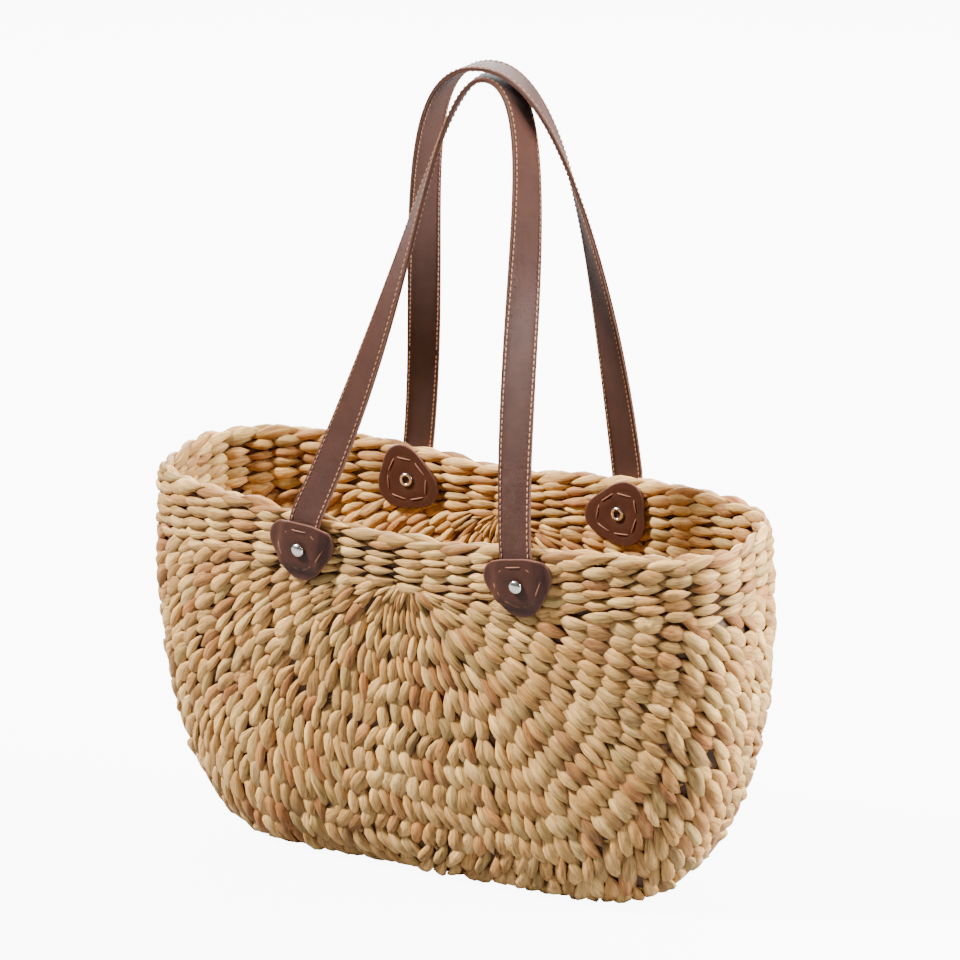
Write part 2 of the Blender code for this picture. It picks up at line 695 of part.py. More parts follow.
def build_handle(side, looks):
    """A handle above its patches: two legs and the arch over them, each of a face and a lining."""
    layers = {
        "face": (LAYER_GAP / 2, LAYER_GAP / 2 + FACE_THICKNESS, looks["strap"]),
        "lining": (-LAYER_GAP / 2 - LINING_THICKNESS, -LAYER_GAP / 2, looks["lining"]),
    }
    for hand in HANDS:
        spots, hinge = stations(side, HINGE_GAP, FOLD_REACH - FOLD_GAP, hand, LEG_STATIONS)
        for layer, (low, high, look) in layers.items():
            strap_layer(f"{side}_{hand}_leg_{layer}", spots, hinge, low, high, look)
    spots, hinge = stations(side, FOLD_REACH + FOLD_GAP, count=ARCH_STATIONS)
    for layer, (low, high, look) in layers.items():
        strap_layer(f"{side}_arch_{layer}", spots, hinge, low, high, look)


def main():
    """Builds the bag."""
    for old in list(bpy.data.objects):
        bpy.data.objects.remove(old)
    weave = material("water_hyacinth", STRAW, 0.75)
    pale_weave = material("water_hyacinth_braid", PALE_STRAW, 0.72)
    looks = {
        "strap": material("strap_leather", BROWN_LEATHER, 0.45),
        "lining": material("strap_lining", BROWN_LEATHER, 0.55),
        "patch": material("patch_leather", DARK_LEATHER, 0.42),
        "thread": material("tan_thread", TAN_THREAD, 0.7),
        "metal": material("nickel", NICKEL, 0.18, 1.0),
    }
    build_fan(weave)
    drills = [build_attachment(side, hand, looks) for side in SIDES for hand in HANDS]
    build_mouth(weave, pale_weave, drills)
    for side in SIDES:
        build_handle(side, looks)


main()
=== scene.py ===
"""Looks of the woven beach bag: the strands of its weave, its leather straps, patches, stitches and rivets.

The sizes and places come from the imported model. Things that repeat are modelled once as a straight blank with
Blender's own operators, and each copy is then laid along the row, the strap or the wall that it belongs to.
"""

from __future__ import annotations

import logging
import math
from dataclasses import dataclass, field
from enum import Enum
from typing import Callable

import bmesh
import bpy
import numpy as np
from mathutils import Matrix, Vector


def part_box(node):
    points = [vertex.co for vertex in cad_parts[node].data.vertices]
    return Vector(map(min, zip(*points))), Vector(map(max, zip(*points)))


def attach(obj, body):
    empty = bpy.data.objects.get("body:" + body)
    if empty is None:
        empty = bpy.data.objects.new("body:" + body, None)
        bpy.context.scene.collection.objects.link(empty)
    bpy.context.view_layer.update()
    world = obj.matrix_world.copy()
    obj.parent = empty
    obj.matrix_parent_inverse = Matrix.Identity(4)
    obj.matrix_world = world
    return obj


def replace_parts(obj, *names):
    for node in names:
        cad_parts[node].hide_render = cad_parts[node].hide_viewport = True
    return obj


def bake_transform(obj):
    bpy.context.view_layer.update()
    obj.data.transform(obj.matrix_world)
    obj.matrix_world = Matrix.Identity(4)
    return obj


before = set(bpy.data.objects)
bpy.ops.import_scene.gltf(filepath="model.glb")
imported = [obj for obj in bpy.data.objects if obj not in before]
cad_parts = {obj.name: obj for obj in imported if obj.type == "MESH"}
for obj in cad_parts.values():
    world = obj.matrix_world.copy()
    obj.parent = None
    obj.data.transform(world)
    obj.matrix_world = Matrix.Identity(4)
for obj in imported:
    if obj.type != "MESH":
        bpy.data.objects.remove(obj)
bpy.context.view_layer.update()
LOG = logging.getLogger("beach_bag")

Colour = tuple[float, float, float]
Test = Callable[[Vector], bool]

WHITE: Colour = (1.0, 1.0, 1.0)
# Painted shade: the colour of the dark sheet seen in the gaps between the strands.
GAP_SHADE_TONE: Colour = (0.085, 0.040, 0.014)
NEAR = 1e-4  # two places this close, in metres or in a blank's own length, are the same


class Side(Enum):
    """The two long walls, by the way they face along Y."""

    FRONT = -1.0
    BACK = 1.0


class Hand(Enum):
    """The two feet of a handle, by their side along X."""

    LEFT = -1.0
    RIGHT = 1.0


class Twist(Enum):
    """Which way the two strands of a row turn round each other."""

    S = 1.0
    Z = -1.0


# ---------------------------------------------------------------- finishes


class NodeSheet:
    """One node tree, with short calls that add nodes to it."""

    def __init__(self, tree: bpy.types.NodeTree) -> None:
        """Keeps the tree.

        Args:
            tree: The material's or the group's node tree.
        """
        self.tree = tree

    def add(self, kind: str, inputs: dict | None = None, **settings: object) -> bpy.types.Node:
        """Adds a node.

        Args:
            kind: The node's type name, without its ShaderNode prefix.
            inputs: A value or another node's output for each named or numbered input.
            settings: The node's own settings.

        Returns:
            The new node.
        """
        node = self.tree.nodes.new("ShaderNode" + kind)
        for name, value in settings.items():
            setattr(node, name, value)
        self.feed(node, inputs or {})
        return node

    def feed(self, node: bpy.types.Node, inputs: dict) -> None:
        """Sets a node's named or numbered inputs to values or to other nodes' outputs."""
        for name, value in inputs.items():
            if isinstance(value, bpy.types.NodeSocket):
                self.tree.links.new(value, node.inputs[name])
            else:
                node.inputs[name].default_value = value

    def math(self, operation: str, a: object, b: object = 0.0) -> bpy.types.NodeSocket:
        """The result of one sum on two values or outputs."""
        return self.add("Math", {0: a, 1: b}, operation=operation).outputs[0]

    def mix(self, factor: object, a: object, b: object, blend: str = "MIX") -> bpy.types.NodeSocket:
        """Two colours mixed.

        Args:
            factor: How much of b there is, a number or an output.
            a: The first colour.
            b: The second colour.
            blend: The way they mix.

        Returns:
            The mixed colour's output.
        """
        node = self.add("Mix", {0: factor, 6: a, 7: b}, data_type="RGBA", blend_type=blend)
        return node.outputs[2]

    def spread(
        self, value: object, low: float, high: float, to_low: float, to_high: float
    ) -> bpy.types.NodeSocket:
        """A value moved from one range to another and kept inside it."""
        inputs = {"Value": value, "From Min": low, "From Max": high, "To Min": to_low, "To Max": to_high}
        return self.add("MapRange", inputs).outputs[0]

    def noise(
        self, vector: object, scale: float, detail: float = 3.0, roughness: float = 0.5
    ) -> bpy.types.NodeSocket:
        """The value of a noise pattern.

        Args:
            vector: Where the pattern is read.
            scale: Its fineness.
            detail: How many finer patterns are added.
            roughness: How strong the finer ones are.

        Returns:
            The pattern's value.
        """
        inputs = {"Vector": vector, "Scale": scale, "Detail": detail, "Roughness": roughness}
        return self.add("TexNoise", inputs).outputs[0]

    def stretched(self, vector: object, scale: tuple[float, float, float]) -> bpy.types.NodeSocket:
        """A place scaled along each of its axes."""
        return self.add("Mapping", {"Vector": vector, "Scale": scale}).outputs[0]


def rgba(colour: Colour, share: float = 1.0) -> tuple[float, float, float, float]:
    """A colour, or a share of it, with full alpha."""
    return (*(share * c for c in colour), 1.0)


def new_group(
    name: str, inputs: dict[str, str], outputs: dict[str, str]
) -> tuple[NodeSheet, bpy.types.Node, bpy.types.Node]:
    """A shader node group with its sockets.

    Args:
        name: The group's name.
        inputs: Socket type for each input's name.
        outputs: Socket type for each output's name.

    Returns:
        The group's sheet, its input node and its output node.
    """
    tree = bpy.data.node_groups.new(name, "ShaderNodeTree")
    for label, kind in inputs.items():
        tree.interface.new_socket(label, in_out="INPUT", socket_type=kind)
    for label, kind in outputs.items():
        tree.interface.new_socket(label, in_out="OUTPUT", socket_type=kind)
    sheet = NodeSheet(tree)
    given = tree.nodes.new("NodeGroupInput")
    made = tree.nodes.new("NodeGroupOutput")
    return sheet, given, made


def fibre_group() -> bpy.types.NodeTree:
    """The lengthwise grain of dried water plant stems.

    Returns:
        A group that takes a place along (X) and round (Y) a strand in centimetres, and gives a streak mask, a
        mask of thin creases and a height.
    """
    found = bpy.data.node_groups.get("stem_grain")
    if found:
        return found
    outputs = {name: "NodeSocketFloat" for name in ("Streak", "Crease", "Height")}
    sheet, given, made = new_group("stem_grain", {"Place": "NodeSocketVector"}, outputs)
    place = given.outputs["Place"]
    streak = sheet.noise(sheet.stretched(place, (0.45, 3.2, 1.0)), 1.0, 4.0, 0.6)
    fibre = sheet.noise(sheet.stretched(place, (0.9, 11.0, 1.0)), 1.0, 3.0, 0.55)
    folds = sheet.noise(sheet.stretched(place, (0.32, 4.2, 1.0)), 1.0, 2.0, 0.5)
    # A crease runs wherever the folds' noise passes through its middle.
    away = sheet.math("ABSOLUTE", sheet.math("SUBTRACT", folds, 0.5))
    crease = sheet.spread(away, 0.0, 0.035, 1.0, 0.0)
    ridges = sheet.math("ADD", sheet.math("MULTIPLY", streak, 0.65), sheet.math("MULTIPLY", fibre, 0.35))
    height = sheet.math("SUBTRACT", ridges, sheet.math("MULTIPLY", crease, 0.22))
    sheet.feed(made, {"Streak": streak, "Crease": crease, "Height": height})
    return sheet.tree


def leather_group() -> bpy.types.NodeTree:
    """The pebbled grain of tumbled leather.

    Returns:
        A group that takes a place in metres and the pebbles' fineness, and gives a height, and a mottle mask.
    """
    found = bpy.data.node_groups.get("hide_grain")
    if found:
        return found
    sheet, given, made = new_group(
        "hide_grain",
        {"Place": "NodeSocketVector", "Fineness": "NodeSocketFloat"},
        {"Height": "NodeSocketFloat", "Mottle": "NodeSocketFloat"},
    )
    tossed = {"Vector": given.outputs["Place"], "Scale": 260.0, "Detail": 2.0}
    warp = sheet.add("TexNoise", tossed).outputs["Color"]
    # The place is thrown about by the square of a noise, so that no two pebbles are alike.
    bent = sheet.add("VectorMath", {0: warp, 1: warp, 2: given.outputs["Place"]}, operation="MULTIPLY_ADD")
    cells = sheet.add(
        "TexVoronoi",
        {"Vector": bent.outputs[0], "Scale": given.outputs["Fineness"], "Smoothness": 0.35},
        feature="SMOOTH_F1",
    )
    pebble = sheet.spread(cells.outputs["Distance"], 0.0, 0.75, 1.0, 0.0)
    mottle = sheet.noise(given.outputs["Place"], 55.0, 4.0, 0.6)
    sheet.feed(made, {"Height": pebble, "Mottle": mottle})
    return sheet.tree


@dataclass(frozen=True)
class Finish:
    """What every finish shares: a material that is made once, on its first use."""

    name: str

    def inputs(self, sheet: NodeSheet) -> dict[str, object]:
        """Adds the finish's nodes, and gives a value or an output for each of the shader's inputs."""
        raise NotImplementedError

    def material(self) -> bpy.types.Material:
        """The finish as a material."""
        found = bpy.data.materials.get(self.name)
        if found:
            return found
        made = bpy.data.materials.new(self.name)
        made.use_nodes = True
        sheet = NodeSheet(made.node_tree)
        sheet.feed(made.node_tree.nodes["Principled BSDF"], self.inputs(sheet))
        return made


@dataclass(frozen=True)
class StemFibre(Finish):
    """Dried, twisted stems: the colour of each pass comes from its own tone."""

    # How light the painted shade on the diving ends is.
    shade: float = 1.0
    roughness: float = 0.54
    bump: float = 0.8
    dark_streak: Colour = (0.56, 0.45, 0.34)
    pale_streak: Colour = (1.2, 1.21, 1.22)
    # Painted shade along the stems' creases.
    crease: Colour = (0.42, 0.28, 0.18)
    # Painted shade on the ends that dive between the stakes.
    dive_shade: Colour = (0.27, 0.16, 0.09)

    def inputs(self, sheet: NodeSheet) -> dict[str, object]:
        """Adds the finish's nodes, and gives a value or an output for each of the shader's inputs."""
        place = sheet.add("UVMap", uv_map="stem").outputs[0]
        tone = sheet.add("Attribute", attribute_name="tone").outputs["Color"]
        dive = sheet.add("Attribute", attribute_name="dive").outputs["Fac"]
        grain = sheet.add("Group", {"Place": place}, node_tree=fibre_group()).outputs
        streak = sheet.spread(grain["Streak"], 0.35, 0.68, 0.0, 1.0)
        streaked = sheet.mix(
            0.9, tone, sheet.mix(streak, rgba(self.dark_streak), rgba(self.pale_streak)), "MULTIPLY"
        )
        # Painted shade darkens the thin creases.
        crease_shaded = sheet.mix(sheet.math("MULTIPLY", grain["Crease"], 0.6), rgba(WHITE), rgba(self.crease))
        # Painted shade: what dives between the stakes is darker and warmer.
        dive_shaded = sheet.mix(dive, rgba(WHITE), rgba(self.dive_shade, self.shade))
        colour = sheet.mix(1.0, sheet.mix(1.0, streaked, crease_shaded, "MULTIPLY"), dive_shaded, "MULTIPLY")
        rough = sheet.spread(grain["Streak"], 0.3, 0.7, self.roughness + 0.1, self.roughness - 0.08)
        bump = sheet.add("Bump", {"Height": grain["Height"], "Strength": self.bump, "Distance": 0.0009})
        return {
            "Base Color": colour,
            "Roughness": rough,
            "Normal": bump.outputs[0],
            "Specular IOR Level": 0.26,
            "Sheen Weight": 0.04,
            "Sheen Roughness": 0.5,
        }


@dataclass(frozen=True)
class Hide(Finish):
    """Pebbled leather with a worn, slightly paler rim and painted shade in the hollows between its pebbles."""

    colour: Colour
    worn: Colour
    fineness: float
    roughness: float
    bump: float

    def inputs(self, sheet: NodeSheet) -> dict[str, object]:
        """Adds the finish's nodes, and gives a value or an output for each of the shader's inputs."""
        place = sheet.add("UVMap", uv_map="hide").outputs[0]
        rim = sheet.add("Attribute", attribute_name="rim").outputs["Fac"]
        given = {"Place": place, "Fineness": self.fineness}
        grain = sheet.add("Group", given, node_tree=leather_group()).outputs
        mottle = sheet.spread(grain["Mottle"], 0.35, 0.7, 0.0, 1.0)
        mottled = sheet.mix(mottle, rgba(self.colour, 0.72), rgba(self.colour))
        # Painted shade darkens the hollows between the pebbles.
        pit_shade = sheet.spread(grain["Height"], 0.25, 0.7, 0.45, 0.0)
        pit_shaded = sheet.mix(pit_shade, mottled, rgba(self.colour, 0.45))
        rough = sheet.spread(grain["Height"], 0.2, 0.8, self.roughness + 0.14, self.roughness - 0.04)
        bump = sheet.add("Bump", {"Height": grain["Height"], "Strength": self.bump, "Distance": 0.0004})
        return {
            "Base Color": sheet.mix(sheet.math("MULTIPLY", rim, 0.7), pit_shaded, rgba(self.worn)),
            "Roughness": rough,
            "Normal": bump.outputs[0],
            "Specular IOR Level": 0.28,
        }


@dataclass(frozen=True)
class WaxedThread(Finish):
    """Twisted, waxed sewing thread, with painted shade in the grooves between its plies."""

    colour: Colour
    ply_turn: float = 0.7
    plies: float = 9.0

    def inputs(self, sheet: NodeSheet) -> dict[str, object]:
        """Adds the finish's nodes, and gives a value or an output for each of the shader's inputs."""
        place = sheet.add("UVMap", uv_map="stem").outputs[0]
        laid = {"Vector": place, "Rotation": (0.0, 0.0, self.ply_turn), "Scale": (self.plies,) * 3}
        turned = sheet.add("Mapping", laid)
        wave = {"Vector": turned.outputs[0], "Scale": 1.0, "Distortion": 0.6}
        ply = sheet.add("TexWave", wave).outputs["Fac"]
        bump = sheet.add("Bump", {"Height": ply, "Strength": 0.5, "Distance": 0.0001})
        # Painted shade: the grooves between the plies are darker.
        colour = sheet.mix(ply, rgba(self.colour, 0.6), rgba(self.colour))
        return {"Base Color": colour, "Normal": bump.outputs[0], "Roughness": 0.55}


@dataclass(frozen=True)
class PlatedMetal(Finish):
    """Polished plating with faint scratches and a little grime."""

    colour: Colour
    roughness: float
    grime: float = 0.16

    def inputs(self, sheet: NodeSheet) -> dict[str, object]:
        """Adds the finish's nodes, and gives a value or an output for each of the shader's inputs."""
        place = sheet.add("TexCoord").outputs["Object"]
        smudge = sheet.noise(place, 320.0, 3.0, 0.6)
        scratch = sheet.noise(sheet.stretched(place, (1.0, 1.0, 14.0)), 700.0, 2.0, 0.5)
        dull = sheet.spread(smudge, 0.35, 0.7, self.roughness, self.roughness + self.grime)
        dirt = sheet.spread(smudge, 0.5, 0.8, 0.0, 0.5)
        bump = sheet.add("Bump", {"Height": scratch, "Strength": 0.06, "Distance": 0.0001})
        return {
            "Base Color": sheet.mix(dirt, rgba(self.colour), rgba(self.colour, 0.75)),
            "Roughness": sheet.math("ADD", dull, sheet.math("MULTIPLY", scratch, 0.05)),
            "Normal": bump.outputs[0],
            "Metallic": 1.0,
        }


@dataclass(frozen=True)
class PaleFloor(Finish):
    """A plain white studio floor, which glows only where the camera sees it."""

    grey: Colour = (0.20, 0.20, 0.20)
    paler_grey: Colour = (0.22, 0.22, 0.22)
    glow: float = 9.0

    def inputs(self, sheet: NodeSheet) -> dict[str, object]:
        """Adds the finish's nodes, and gives a value or an output for each of the shader's inputs."""
        place = sheet.add("TexCoord").outputs["Object"]
        seen = sheet.add("LightPath").outputs["Is Camera Ray"]
        return {
            "Base Color": sheet.mix(sheet.noise(place, 3.0, 2.0), rgba(self.grey), rgba(self.paler_grey)),
            "Emission Strength": sheet.math("MULTIPLY", seen, self.glow),
            "Emission Color": rgba(WHITE),
            "Roughness": 0.8,
        }


STEMS = StemFibre("dried_stems")
RIM_STEMS = StemFibre("dried_stems_rim", shade=1.3, roughness=0.5)
STRAP_HIDE = Hide("strap_leather_look", (0.098, 0.034, 0.021), (0.15, 0.060, 0.036), 700.0, 0.38, 0.8)
PATCH_HIDE = Hide("patch_leather_look", (0.070, 0.021, 0.011), (0.16, 0.062, 0.040), 700.0, 0.36, 0.25)
TAN_THREAD = WaxedThread("tan_thread_look", (0.58, 0.27, 0.13))
RUST_THREAD = WaxedThread("rust_thread_look", (0.30, 0.115, 0.065))
NICKEL = PlatedMetal("nickel_look", (0.82, 0.80, 0.77), 0.12)


# ---------------------------------------------------------------- blanks and laying


def start_mesh(add: Callable[..., object], **settings: object) -> bpy.types.Object:
    """Adds a primitive on its own and goes into edit mode on it.

    Args:
        add: The primitive's operator.
        settings: Its settings.

    Returns:
        The new object.
    """
    if bpy.context.mode != "OBJECT":
        bpy.ops.object.mode_set(mode="OBJECT")
    bpy.ops.object.select_all(action="DESELECT")
    add(**settings)
    made = bpy.context.object
    bpy.ops.object.mode_set(mode="EDIT")
    bpy.ops.mesh.select_mode(type="VERT")
    return made


def pick(test: Test) -> None:
    """Selects the vertices of the mesh being edited that pass a test of their place."""
    mesh = bpy.context.edit_object.data
    editing = bmesh.from_edit_mesh(mesh)
    for vertex in editing.verts:
        vertex.select = test(vertex.co)
    editing.select_flush_mode()
    bmesh.update_edit_mesh(mesh)


def slice_at(places: list[float], axis: int) -> None:
    """Cuts the mesh being edited across an axis at each place."""
    for place in places:
        bpy.ops.mesh.select_all(action="SELECT")
        at, normal = [0.0, 0.0, 0.0], [0.0, 0.0, 0.0]
        at[axis], normal[axis] = place, 1.0
        bpy.ops.mesh.bisect(plane_co=at, plane_no=normal)


def start_rod(sides: int, length: float, middle: float = 0.0) -> None:
    """Adds a rod one across, lying along X, and goes into edit mode on it.

    Args:
        sides: The number of its sides.
        length: Its length.
        middle: The place of its middle along X.
    """
    start_mesh(
        bpy.ops.mesh.primitive_cylinder_add,
        vertices=sides,
        radius=0.5,
        depth=length,
        location=(middle, 0.0, 0.0),
        rotation=(0.0, math.pi / 2, 0.0),
    )
    bpy.ops.object.mode_set(mode="OBJECT")
    bpy.ops.object.transform_apply(location=True, rotation=True, scale=True)
    bpy.ops.object.mode_set(mode="EDIT")


def points_of(made: bpy.types.Object) -> np.ndarray:
    """The places of an object's vertices."""
    return np.array([v.co for v in made.data.vertices])


def move_points(made: bpy.types.Object, places: np.ndarray) -> None:
    """Puts an object's vertices at new places."""
    made.data.vertices.foreach_set("co", places.reshape(-1).astype(np.float32))


def paint(mesh: bpy.types.Mesh, label: str, values: np.ndarray) -> None:
    """Gives each point of a mesh a number, or a colour with full alpha."""
    if values.ndim == 1:
        mesh.attributes.new(label, "FLOAT", "POINT").data.foreach_set("value", values.astype(np.float32))
        return
    colours = np.concatenate([values, np.ones((len(values), 1))], axis=1)
    layer = mesh.attributes.new(label, "FLOAT_COLOR", "POINT")
    layer.data.foreach_set("color", colours.reshape(-1).astype(np.float32))


def lay_on_hide(mesh: bpy.types.Mesh, flat: np.ndarray) -> None:
    """Gives each corner of a mesh its point's place on the flat hide, in metres."""
    layer = mesh.uv_layers[0]
    layer.name = "hide"
    corner = np.zeros(len(mesh.loops), int)
    mesh.loops.foreach_get("vertex_index", corner)
    layer.data.foreach_set("uv", flat[corner].reshape(-1).astype(np.float32))


def distances(points: np.ndarray) -> np.ndarray:
    """How far along a line each of its points is."""
    return np.concatenate([[0.0], np.cumsum(np.linalg.norm(np.diff(points, axis=0), axis=1))])


def read_along(at: np.ndarray, known: np.ndarray, values: np.ndarray) -> np.ndarray:
    """Points or directions read between known places along a line."""
    return np.stack([np.interp(at, known, column) for column in values.T], axis=-1)


def evenly(points: np.ndarray, count: int) -> np.ndarray:
    """A line's points moved to equal steps along it."""
    at = distances(points)
    return read_along(np.linspace(0.0, at[-1], count), at, points)


def cubic(t: np.ndarray, a: np.ndarray, b: np.ndarray, c: np.ndarray, d: np.ndarray) -> np.ndarray:
    """Points of a cubic curve given by its four control points."""
    u = 1.0 - t
    return u**3 * a + 3 * u * u * t * b + 3 * u * t * t * c + t**3 * d


@dataclass
class Blank:
    """A straight shape, taken from a modelled object, that is laid many times."""

    points: np.ndarray
    faces: list[tuple[int, ...]]
    uvs: np.ndarray = field(default_factory=lambda: np.zeros((0, 2)))

    @classmethod
    def of(cls, made: bpy.types.Object) -> "Blank":
        """Takes the shape from an object and deletes the object.

        Args:
            made: The modelled object, with its length along X.

        Returns:
            The shape, with a place along and round it for each face corner.
        """
        if bpy.context.mode != "OBJECT":
            bpy.ops.object.mode_set(mode="OBJECT")
        made.data.transform(made.matrix_world)
        points = points_of(made)
        faces = [tuple(f.vertices) for f in made.data.polygons]
        mesh = made.data
        bpy.data.objects.remove(made)
        bpy.data.meshes.remove(mesh)
        blank = cls(points, faces)
        turn = np.arctan2(points[:, 1], points[:, 2]) / (2 * math.pi)
        corners = []
        for face in faces:
            around = turn[list(face)]
            around = around + np.round(around[0] - around)
            corners += [(points[v, 0], a) for v, a in zip(face, around)]
        blank.uvs = np.array(corners)
        return blank

    @property
    def corner_points(self) -> np.ndarray:
        """The point of each face corner, in face order."""
        return np.array([v for face in self.faces for v in face])


def build_mesh(
    name: str,
    blank: Blank,
    places: np.ndarray,
    uvs: np.ndarray,
    uv_name: str,
    look: bpy.types.Material,
    attributes: dict[str, np.ndarray] | None = None,
) -> bpy.types.Object:
    """One object from many laid copies of a blank.

    Args:
        name: The object's name.
        blank: The shape that was laid.
        places: The points of each copy, as copies by points by 3.
        uvs: The UVs of each copy, as copies by corners by 2.
        uv_name: The UV map's name.
        look: The material.
        attributes: Colours, or numbers, of each copy's points.

    Returns:
        The object, smooth, with its mesh in place.
    """
    copies, count = places.shape[:2]
    sizes = np.array([len(face) for face in blank.faces])
    corners = blank.corner_points
    mesh = bpy.data.meshes.new(name)
    mesh.vertices.add(copies * count)
    mesh.vertices.foreach_set("co", places.reshape(-1).astype(np.float32))
    mesh.loops.add(copies * len(corners))
    copy = np.arange(copies)[:, None]
    mesh.loops.foreach_set("vertex_index", (corners[None] + copy * count).reshape(-1))
    starts = np.concatenate([[0], np.cumsum(sizes)[:-1]])
    mesh.polygons.add(copies * len(sizes))
    mesh.polygons.foreach_set("loop_start", (starts[None] + copy * len(corners)).reshape(-1))
    mesh.update(calc_edges=True)
    mesh.polygons.foreach_set("use_smooth", np.ones(copies * len(sizes), bool))
    mesh.uv_layers.new(name=uv_name).data.foreach_set("uv", uvs.reshape(-1).astype(np.float32))
    for label, values in (attributes or {}).items():
        paint(mesh, label, values.reshape(copies * count, *values.shape[2:]))
    mesh.materials.append(look)
    mesh.validate()
    made = bpy.data.objects.new(name, mesh)
    bpy.context.scene.collection.objects.link(made)
    LOG.info("%s: %d faces", name, len(mesh.polygons))
    return made


def smooth_step(t: np.ndarray) -> np.ndarray:
    """0 to 1 with level ends."""
    t = np.clip(t, 0.0, 1.0)
    return t * t * (3.0 - 2.0 * t)


# ---------------------------------------------------------------- the basket's surface


@dataclass
class Sheet:
    """A curved surface as a grid of points: the first way across the rows, the second along them."""

    points: np.ndarray
    closed: bool = False
    normals: np.ndarray = field(init=False)
    along: np.ndarray = field(init=False)

    def __post_init__(self) -> None:
        """Works out the directions at each point of the grid."""
        across = np.gradient(self.points, axis=0)
        if self.closed:
            # The last column repeats the first, so the slope there runs on round the ring.
            ring = self.points[:, :-1]
            slope = (np.roll(ring, -1, axis=1) - np.roll(ring, 1, axis=1)) / 2
            along = np.concatenate([slope, slope[:, :1]], axis=1)
        else:
            along = np.gradient(self.points, axis=1)
        normals = np.cross(along, across)
        normals /= np.linalg.norm(normals, axis=2, keepdims=True) + 1e-12
        outward = np.sum(normals * (self.points - np.array([0.0, 0.0, 0.15])), axis=2).mean()
        self.normals = normals * np.sign(outward)
        self.along = along / (np.linalg.norm(along, axis=2, keepdims=True) + 1e-12)

    def sample(self, across: np.ndarray, along: np.ndarray) -> tuple[np.ndarray, ...]:
        """The surface at many places.

        Args:
            across: Places across the rows, 0 to 1.
            along: Places along the rows, 0 to 1.

        Returns:
            The points, and the unit directions out of the surface, along the row and across it.
        """
        rows, columns = self.points.shape[:2]
        if self.closed:
            along = along % 1.0
        i = np.clip(across, 0.0, 1.0) * (rows - 1)
        j = np.clip(along, 0.0, 1.0) * (columns - 1)
        i0, j0 = np.minimum(i.astype(int), rows - 2), np.minimum(j.astype(int), columns - 2)
        fi, fj = (i - i0)[..., None], (j - j0)[..., None]

        def blend(grid: np.ndarray) -> np.ndarray:
            """The grid's value between its four nearest points."""
            low = grid[i0, j0] * (1 - fj) + grid[i0, j0 + 1] * fj
            high = grid[i0 + 1, j0] * (1 - fj) + grid[i0 + 1, j0 + 1] * fj
            return low * (1 - fi) + high * fi

        out = blend(self.normals)
        out /= np.linalg.norm(out, axis=-1, keepdims=True)
        run = blend(self.along)
        run -= out * np.sum(run * out, axis=-1, keepdims=True)
        run /= np.linalg.norm(run, axis=-1, keepdims=True)
        return blend(self.points), out, run, np.cross(out, run)


